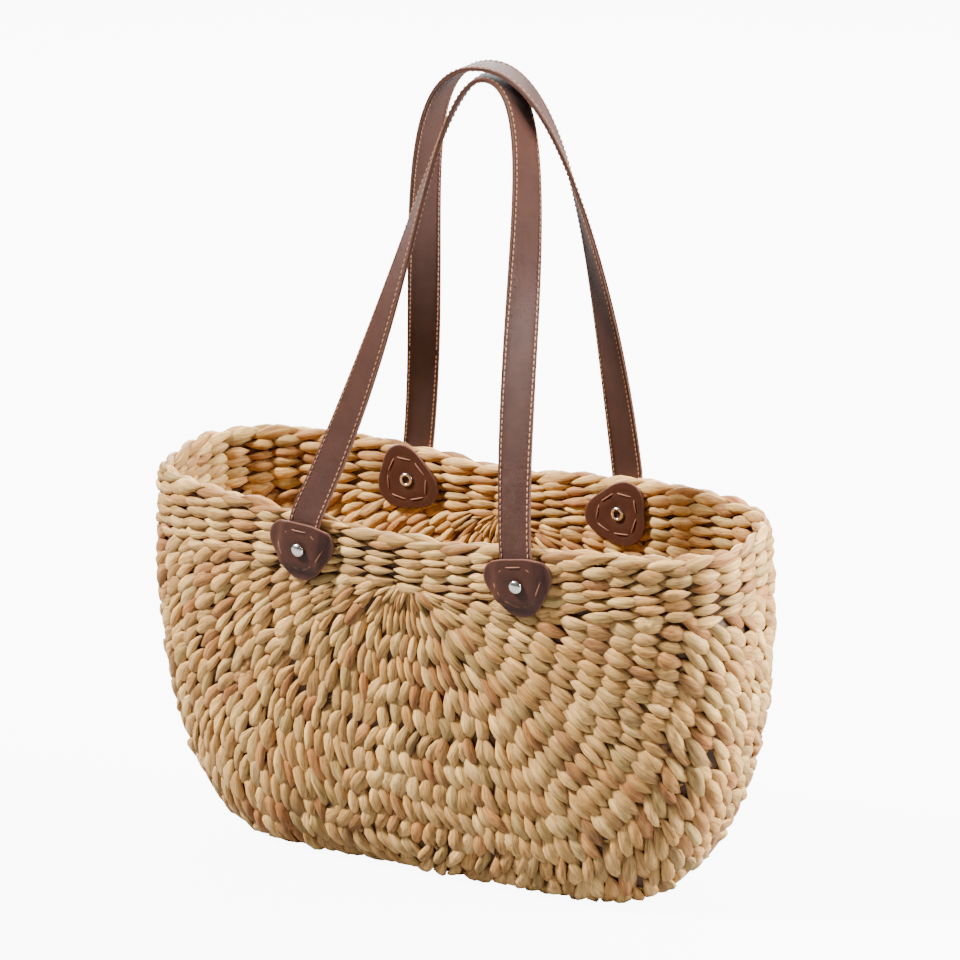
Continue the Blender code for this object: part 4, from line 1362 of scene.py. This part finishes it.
    def rivet(self) -> bpy.types.Object:
        """The rivet: a domed head with a rolled rim, its shank through the wall and its spread end inside."""
        made = start_mesh(
            bpy.ops.mesh.primitive_uv_sphere_add, segments=36, ring_count=20, radius=self.head_radius
        )
        made.name = made.data.name = self.name + "_rivet_head"
        bpy.ops.mesh.select_all(action="SELECT")
        bpy.ops.mesh.bisect(plane_co=(0, 0, 0), plane_no=(0, 0, 1), clear_inner=True, use_fill=True)
        bpy.ops.mesh.select_all(action="SELECT")
        bpy.ops.transform.resize(value=(1.0, 1.0, self.head_height / self.head_radius))
        pick(lambda co: abs(co.z) < 1e-6)
        bpy.ops.mesh.select_mode(type="FACE")
        bpy.ops.mesh.inset(thickness=0.0006)
        bpy.ops.transform.translate(value=(0.0, 0.0, -0.00035))
        front = self.strap_front + 2 * self.layer_gap + self.patch_thickness + self.crown - 0.0006
        reach = front + self.shape.wall + 0.0030
        bpy.ops.mesh.inset(thickness=self.head_radius - 0.0006 - 0.0016)
        bpy.ops.mesh.extrude_region_move(TRANSFORM_OT_translate={"value": (0.0, 0.0, -reach)})
        bpy.ops.mesh.extrude_region_move(TRANSFORM_OT_translate={"value": (0.0, 0.0, -0.0001)})
        bpy.ops.transform.resize(value=(1.7, 1.7, 1.0))
        bpy.ops.mesh.extrude_region_move(TRANSFORM_OT_translate={"value": (0.0, 0.0, -0.0007)})
        bpy.ops.mesh.inset(thickness=0.0005)
        bpy.ops.transform.translate(value=(0.0, 0.0, -0.0002))
        bpy.ops.mesh.inset(thickness=0.0007)
        bpy.ops.transform.translate(value=(0.0, 0.0, 0.0006))
        return self.placed(made, front + 0.00035)

    def ring(self) -> bpy.types.Object:
        """The ring under the rivet's spread end, on the inner patch."""
        made = start_mesh(
            bpy.ops.mesh.primitive_torus_add,
            major_segments=36,
            minor_segments=12,
            major_radius=self.ring_radius - 0.0012,
            minor_radius=0.0012,
        )
        made.name = made.data.name = self.name + "_rivet_ring"
        bpy.ops.mesh.select_all(action="SELECT")
        bpy.ops.transform.resize(value=(1.0, 1.0, 0.7))
        return self.placed(made, -self.shape.wall - self.patch_seat - self.patch_thickness - 0.0009)

    def placed(self, made: bpy.types.Object, height: float) -> bpy.types.Object:
        """Puts a turned metal piece on the rivet's axis.

        Args:
            made: The piece, modelled about Z and still being edited.
            height: How far its origin is from the wall's outer surface.

        Returns:
            The piece, with its place in its mesh.
        """
        bpy.ops.mesh.select_all(action="SELECT")
        bpy.ops.mesh.normals_make_consistent(inside=False)
        bpy.ops.object.mode_set(mode="OBJECT")
        points = points_of(made)
        move_points(made, self.world(points[:, 0], points[:, 1], points[:, 2] + height))
        made.data.update()
        bpy.ops.object.shade_smooth_by_angle(angle=math.radians(40.0))
        made.data.materials.append(NICKEL.material())
        return made

    def build(self, stitch: Blank) -> None:
        """Makes every piece of the attachment and puts it in place of its plain one."""
        outside, inside = (self.outer_turn, self.outer_back, 1.0), (self.inner_turn, self.inner_back, -1.0)
        pieces = (
            (self.patch(self.name + "_patch_outside", *outside), "outer_patch", "patch_leather"),
            (self.patch(self.name + "_patch_inside", *inside), "inner_patch", "patch_leather"),
            (self.stitching(self.name + "_stitches_outside", stitch, *outside), "outer_thread", "thread"),
            (self.stitching(self.name + "_stitches_inside", stitch, *inside), "inner_thread", "thread"),
            (self.rivet(), "rivet", "nickel"),
            (self.ring(), "washer", "nickel"),
        )
        for piece, node, slot in pieces:
            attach(piece, "basket")
            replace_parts(piece, f"{self.name}_{node}")
        LOG.info("%s: patches, stitches and rivet", self.name)


# ---------------------------------------------------------------- handles


@dataclass
class StrapLine:
    """A stretch of strap as stations: the middle, and the ways along it, out of its face and to its edge."""

    middle: np.ndarray
    face: np.ndarray
    along: np.ndarray = field(init=False)
    edge: np.ndarray = field(init=False)
    at: np.ndarray = field(init=False)

    def __post_init__(self) -> None:
        """Squares the directions to the line."""
        along = np.gradient(self.middle, axis=0)
        self.along = along / np.linalg.norm(along, axis=1, keepdims=True)
        face = self.face - self.along * np.sum(self.face * self.along, axis=1, keepdims=True)
        self.face = face / np.linalg.norm(face, axis=1, keepdims=True)
        self.edge = np.cross(self.along, self.face)
        self.at = distances(self.middle)

    @property
    def length(self) -> float:
        """The stretch's length."""
        return float(self.at[-1])

    def place(self, along: np.ndarray, across: np.ndarray, out: np.ndarray) -> np.ndarray:
        """World places of points given by their distance along the strap, across it and out of its middle."""
        middle, edge, face = (read_along(along, self.at, v) for v in (self.middle, self.edge, self.face))
        return middle + edge * across[..., None] + face * out[..., None]


@dataclass
class Handle:
    """A handle: two feet that come up from under their patches and the arch over them, all stitched."""

    side: Side
    feet: list[Attachment]
    width: float = 0.024
    face_thickness: float = 0.0013
    lining_thickness: float = 0.0012
    layer_gap: float = 0.0003
    standoff: float = 0.0010
    edge_round: float = 0.0006
    seam_depth: float = 0.00035
    stitch_inset: float = 0.0021
    stitch_pitch: float = 0.0042
    stitch_length: float = 0.0031
    thread_radius: float = 0.00036
    hinge_rise: float = 0.0050
    fold_reach: float = 0.105
    joint_reach: float = 0.082  # where a foot piece ends and the arch begins, between the two bends
    bend_length: float = 0.014
    apex_rise: float = field(init=False)
    apex_x: float = field(init=False)

    def __post_init__(self) -> None:
        """Sets the sizes that differ between the two handles."""
        front = self.side is Side.FRONT
        self.apex_rise, self.apex_x = (0.3065, 0.0235) if front else (0.3140, 0.0220)
        self.leans = {Hand.LEFT: 0.358 if front else 0.217, Hand.RIGHT: -0.163 if front else 0.002}
        self.pulls = {Hand.LEFT: 0.190 if front else 0.180, Hand.RIGHT: 0.151 if front else 0.190}
        self.apex_pulls = {Hand.LEFT: 0.0425 if front else 0.0709, Hand.RIGHT: 0.0520 if front else 0.0550}
        self.strap_middle = self.standoff + self.lining_thickness + self.layer_gap / 2
        self.name = self.side.name.lower()
        ends = []
        for foot in self.feet:
            up = foot.up * (foot.patch_top + self.hinge_rise)
            ends.append(foot.spot + up + foot.out * self.strap_middle)
        self.hinge = Vector((0.0, (ends[0].y + ends[1].y) / 2, (ends[0].z + ends[1].z) / 2))
        apex_height = self.feet[0].shape.rim_height + self.apex_rise
        self.slope = math.atan2(abs(self.hinge.y), apex_height - self.hinge.z)
        self.apex_s = math.hypot(apex_height - self.hinge.z, self.hinge.y)
        inward = -self.side.value
        self.rise = np.array((0.0, inward * math.sin(self.slope), math.cos(self.slope)))
        self.plane_out = np.array((0.0, -inward * math.cos(self.slope), math.sin(self.slope)))

    def line(self, count: int = 240) -> tuple[np.ndarray, int]:
        """The handle's middle line from its left foot over the top to its right one.

        Args:
            count: The number of points on each half.

        Returns:
            The points, as distances along X and up the handle's leaning plane, and the topmost one's number.
        """
        apex = np.array((self.apex_x, self.apex_s))
        halves = []
        for foot in self.feet:
            lean = self.leans[foot.hand]
            reach = foot.patch_top + self.hinge_rise
            start = np.array((foot.spot.x + lean / 2 * reach, 0.0))
            pull = start + np.array((lean, 1.0)) / math.hypot(lean, 1.0) * self.pulls[foot.hand]
            over = apex + np.array((foot.hand.value * self.apex_pulls[foot.hand], 0.0))
            halves.append(cubic(np.linspace(0.0, 1.0, count + 1)[:, None], start, pull, over, apex))
        return np.concatenate([halves[0], halves[1][::-1][1:]]), count

    def arch(self) -> StrapLine:
        """The strap from the left foot's piece over the top to the right foot's."""
        flat, apex = self.line()
        at = distances(flat)
        run = np.gradient(flat, axis=0)
        run /= np.linalg.norm(run, axis=1, keepdims=True)
        climbed = np.where(np.arange(len(at)) <= apex, at / at[apex], (at[-1] - at) / (at[-1] - at[apex]))
        twist = (math.pi / 2 - self.slope) * (0.25 * climbed + 0.75 * smooth_step(climbed))
        level = np.zeros(len(at))
        round_out = np.stack([-run[:, 1], level, level], axis=1) + run[:, :1] * self.rise
        face = self.plane_out * np.cos(twist)[:, None] + round_out * np.sin(twist)[:, None]
        middle = np.array((0.0, self.hinge.y, self.hinge.z)) + flat[:, 1:] * self.rise
        middle[:, 0] = flat[:, 0]
        return StrapLine(middle, face)

    def foot_line(self, foot: Attachment, arch: StrapLine) -> StrapLine:
        """The strap from its end under a patch, round the bend above it, to where the arch begins.

        Args:
            foot: The patch and rivet that hold this end.
            arch: The whole line above the bend.

        Returns:
            The foot's line, upwards.
        """
        reach = foot.patch_top + self.hinge_rise
        y = np.linspace(-foot.strap_end_below, reach - 0.007, 24)
        spot, level, up, out = (np.array(v) for v in (foot.spot, foot.level, foot.up, foot.out))
        across = (foot.lean * np.maximum(0.0, y))[:, None]
        low = spot + across * level + y[:, None] * up + self.strap_middle * out
        left = foot.hand is Hand.LEFT
        middle, face = (arch.middle, arch.face) if left else (arch.middle[::-1], arch.face[::-1])
        climb = (middle - np.array(self.hinge)) @ self.rise
        top = int(np.argmax(climb))
        s = np.concatenate([[0.009, 0.014], np.linspace(0.020, self.joint_reach, 16)])
        high, high_face = (read_along(s, climb[:top], v[:top]) for v in (middle, face))
        start, end = low[-1], high[0]
        pull = np.linalg.norm(end - start) / 3
        first = (low[-1] - low[-2]) / np.linalg.norm(low[-1] - low[-2]) * pull
        last = (high[1] - high[0]) / np.linalg.norm(high[1] - high[0]) * pull
        t = np.linspace(0.0, 1.0, 10)[1:-1, None]
        bend = cubic(t, start, start + first, end - last, end)
        bend_face = out * (1 - smooth_step(t)) + high_face[0] * smooth_step(t)
        faces = np.concatenate([np.tile(out, (len(low), 1)), bend_face, high_face])
        return StrapLine(np.concatenate([low, bend, high]), faces)

    def cut_from(self, arch: StrapLine) -> StrapLine:
        """The part of the line between the two feet's pieces."""
        climb = (arch.middle - np.array(self.hinge)) @ self.rise
        top = int(np.argmax(climb))
        low = np.interp(self.joint_reach, climb[:top], arch.at[:top])
        high = np.interp(-self.joint_reach, -climb[top:], arch.at[top:])
        at = np.linspace(low, high, 150)
        return StrapLine(*(read_along(at, arch.at, v) for v in (arch.middle, arch.face)))

    def strap(self, name: str, line: StrapLine, steps: int) -> bpy.types.Object:
        """Models a straight length of strap and lays it along a line.

        Args:
            name: The piece's name.
            line: Where it goes.
            steps: The number of its divisions along.

        Returns:
            The strap.
        """
        thick = self.face_thickness + self.lining_thickness + self.layer_gap
        half = self.width / 2
        made = start_mesh(bpy.ops.mesh.primitive_cube_add, size=1.0)
        made.name = made.data.name = name
        bpy.ops.mesh.select_all(action="SELECT")
        bpy.ops.transform.resize(value=(line.length, self.width, thick))
        slice_at([0.0], 2)
        bpy.ops.mesh.select_mode(type="EDGE")
        editing = bmesh.from_edit_mesh(made.data)
        for edge in editing.edges:
            a, b = (v.co for v in edge.verts)
            edge.select = abs(a.x - b.x) > 1e-4 and abs(a.z) > thick / 4
        bmesh.update_edit_mesh(made.data)
        bpy.ops.mesh.bevel(offset=self.edge_round, segments=3)
        bpy.ops.mesh.select_mode(type="VERT")
        lines = [half - self.stitch_inset + d for d in (-0.0012, 0.0, 0.0012)]
        slice_at([-v for v in lines] + lines + [-0.004, 0.004], 1)
        slice_at([-0.00035, 0.00035], 2)
        slice_at(list(np.linspace(-line.length / 2, line.length / 2, steps + 1)[1:-1]), 0)
        bpy.ops.object.mode_set(mode="OBJECT")
        x, y, z = points_of(made).T
        # The two layers part a little along the edges, and the stitches pull the faces in.
        y = y - np.sign(y) * np.where((np.abs(z) < 1e-5) & (np.abs(y) > half - 1e-4), self.seam_depth, 0.0)
        sewn = np.exp(-(((np.abs(y) - (half - self.stitch_inset)) / 0.0008) ** 2))
        crown = 0.00018 * (1 - (np.abs(y) / half) ** 2)
        z = z + np.sign(z) * np.where(np.abs(z) > thick / 2 - 1e-4, crown - 0.00016 * sewn, 0.0)
        move_points(made, line.place(x + line.length / 2, y, z + 0.00005))
        # The lining lies beside the face on the hide.
        over = y + np.where(z < 0, 0.05, 0.0) + 0.4 * np.minimum(np.abs(z), thick)
        lay_on_hide(made.data, np.stack([x, over], axis=1))
        paint(made.data, "rim", np.clip((np.abs(y) - (half - 0.0007)) / 0.0005, 0.0, 1.0))
        made.data.update()
        bpy.ops.object.shade_smooth_by_angle(angle=math.radians(50.0))
        made.data.materials.append(STRAP_HIDE.material())
        return made

    def stitching(self, name: str, blank: Blank, line: StrapLine, skip: float = 0.0) -> bpy.types.Object:
        """The two rows of stitches on both faces of a stretch of strap.

        Args:
            name: The piece's name.
            blank: The modelled stitch.
            line: The stretch.
            skip: How much of its start has none.

        Returns:
            The stitches.
        """
        count = int((line.length - skip) / self.stitch_pitch)
        start = line.length - (np.arange(count) + 0.5) * self.stitch_pitch - self.stitch_length / 2
        half, thick = self.width / 2 - self.stitch_inset, self.lining_thickness + self.layer_gap / 2
        starts, ends, outs = [], [], []
        for row in (-1.0, 1.0):
            for face, height in ((1.0, self.face_thickness + self.layer_gap / 2), (-1.0, thick)):
                across, out = np.full(count, row * half), np.full(count, face * height)
                a = line.place(start, across, out)
                b = line.place(start + self.stitch_length, across, out)
                outward = line.place(start, across, out + face) - a
                starts.append(a)
                ends.append(b)
                outs.append(outward)
        places, uvs = Stitch.laid(
            blank, np.concatenate(starts), np.concatenate(ends), np.concatenate(outs), self.thread_radius
        )
        return build_mesh(name, blank, places, uvs, "stem", TAN_THREAD.material())

    def hang(
        self, strap: bpy.types.Object, sewn: bpy.types.Object
    ) -> None:
        """Bakes the places of a strap and its stitches into their meshes.

        Args:
            strap: The strap.
            sewn: Its stitches.
        """
        for piece, slot in ((strap, "strap_leather"), (sewn, "thread")):
            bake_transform(piece)

    def build(self, stitch: Blank) -> None:
        """Makes the handle's pieces and puts them in place of the plain ones."""
        whole = self.arch()
        for foot in self.feet:
            line = self.foot_line(foot, whole)
            strap = self.strap(foot.name + "_strap_foot", line, 60)
            sewn = self.stitching(foot.name + "_strap_foot_stitches", stitch, line, skip=0.012)
            layers = ("strap_end_face", "strap_end_lining", "leg_face", "leg_lining")
            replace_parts(strap, *(f"{foot.name}_{layer}" for layer in layers))
            self.hang(strap, sewn)
        line = self.cut_from(whole)
        strap = self.strap(self.name + "_strap_arch", line, 130)
        sewn = self.stitching(self.name + "_strap_arch_stitches", stitch, line)
        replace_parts(strap, f"{self.name}_arch_face", f"{self.name}_arch_lining")
        self.hang(strap, sewn)
        LOG.info("%s handle: strap and stitches", self.name)


# ---------------------------------------------------------------- studio


@dataclass(frozen=True)
class Studio:
    """The camera, the lights and the floor."""

    azimuth: float = 25.72
    elevation: float = 19.55
    distance: float = 3.548
    aim: Vector = field(default_factory=lambda: Vector((0.0153, 0.0, 0.2898)))
    lens: float = 186.5
    sun_from: tuple[float, float] = (-59.0, 49.0)
    sun_strength: float = 13.5
    sun_width: float = 7.0
    sky: float = 0.16
    backdrop: float = 10.0  # the background's strength where the camera sees it
    warm_white: Colour = (1.0, 0.97, 0.93)
    # Each soft light's name, its side and height in degrees, its size in metres, power in watts and distance.
    soft_lights: tuple[tuple[str, float, float, float, float, float], ...] = (
        ("side", 110.0, 26.0, 1.2, 270.0, 2.2),
        ("back", 203.0, 28.0, 1.8, 150.0, 2.4),
    )

    def direction(self, azimuth: float, elevation: float) -> Vector:
        """The unit direction from the bag towards a viewer."""
        a, e = math.radians(azimuth), math.radians(elevation)
        return Vector((math.sin(a) * math.cos(e), -math.cos(a) * math.cos(e), math.sin(e)))

    def place_camera(self) -> None:
        """Puts the camera where the bag is seen from the front right, a little from above."""
        data = bpy.data.cameras.new("camera")
        data.lens, data.sensor_width = self.lens, 36.0
        camera = bpy.data.objects.new("camera", data)
        way = self.direction(self.azimuth, self.elevation)
        camera.location = self.aim + way * self.distance
        camera.rotation_euler = way.to_track_quat("Z", "Y").to_euler()
        bpy.context.scene.collection.objects.link(camera)
        bpy.context.scene.camera = camera

    def soft_light(
        self, name: str, azimuth: float, elevation: float, size: float, power: float, away: float
    ) -> None:
        """A square soft light that points at the bag.

        Args:
            name: The light's name.
            azimuth: Its side, in degrees.
            elevation: Its height, in degrees.
            size: The side of the square, in metres.
            power: Its power in watts.
            away: Its distance in metres.
        """
        data = bpy.data.lights.new(name, "AREA")
        data.energy, data.size = power, size
        lamp = bpy.data.objects.new(name, data)
        lamp.visible_camera = False
        way = self.direction(azimuth, elevation)
        lamp.location = self.aim + way * away
        lamp.rotation_euler = way.to_track_quat("Z", "Y").to_euler()
        bpy.context.scene.collection.objects.link(lamp)

    def build(self) -> None:
        """Sets up the whole studio."""
        world = bpy.data.worlds.new("studio_world")
        world.use_nodes = True
        background = world.node_tree.nodes["Background"]
        sheet = NodeSheet(world.node_tree)
        seen = sheet.add("LightPath").outputs["Is Camera Ray"]
        strength = sheet.spread(seen, 0.0, 1.0, self.sky, self.backdrop)
        sheet.feed(background, {"Strength": strength, "Color": (1.0, 0.99, 0.97, 1.0)})
        bpy.context.scene.world = world
        sun = bpy.data.lights.new("key", "SUN")
        sun.energy, sun.angle, sun.color = self.sun_strength, math.radians(self.sun_width), self.warm_white
        lamp = bpy.data.objects.new("key", sun)
        way = self.direction(*self.sun_from)
        lamp.rotation_euler = way.to_track_quat("Z", "Y").to_euler()
        bpy.context.scene.collection.objects.link(lamp)
        for light in self.soft_lights:
            self.soft_light(*light)
        start_mesh(bpy.ops.mesh.primitive_grid_add, x_subdivisions=4, y_subdivisions=4, size=40.0)
        bpy.ops.object.mode_set(mode="OBJECT")
        floor = bpy.context.object
        floor.name = "studio_floor"
        floor.data.materials.append(PaleFloor("studio_floor").material())
        self.place_camera()


def main() -> None:
    """Builds the bag's looks and the studio."""
    logging.basicConfig(level=logging.INFO, format="%(message)s")
    shape = BagShape()
    attachments = [Attachment(shape, side, hand) for side in Side for hand in Hand]
    Basket(shape, StrandPass().model(), pressed_at=tuple(a.spot for a in attachments)).build()
    stitch = Stitch().model()
    for attachment in attachments:
        attachment.build(stitch)
    for side in Side:
        feet = [a for a in attachments if a.side is side]
        Handle(side, feet).build(stitch)
    Studio().build()


if __name__ == "__main__":
    main()
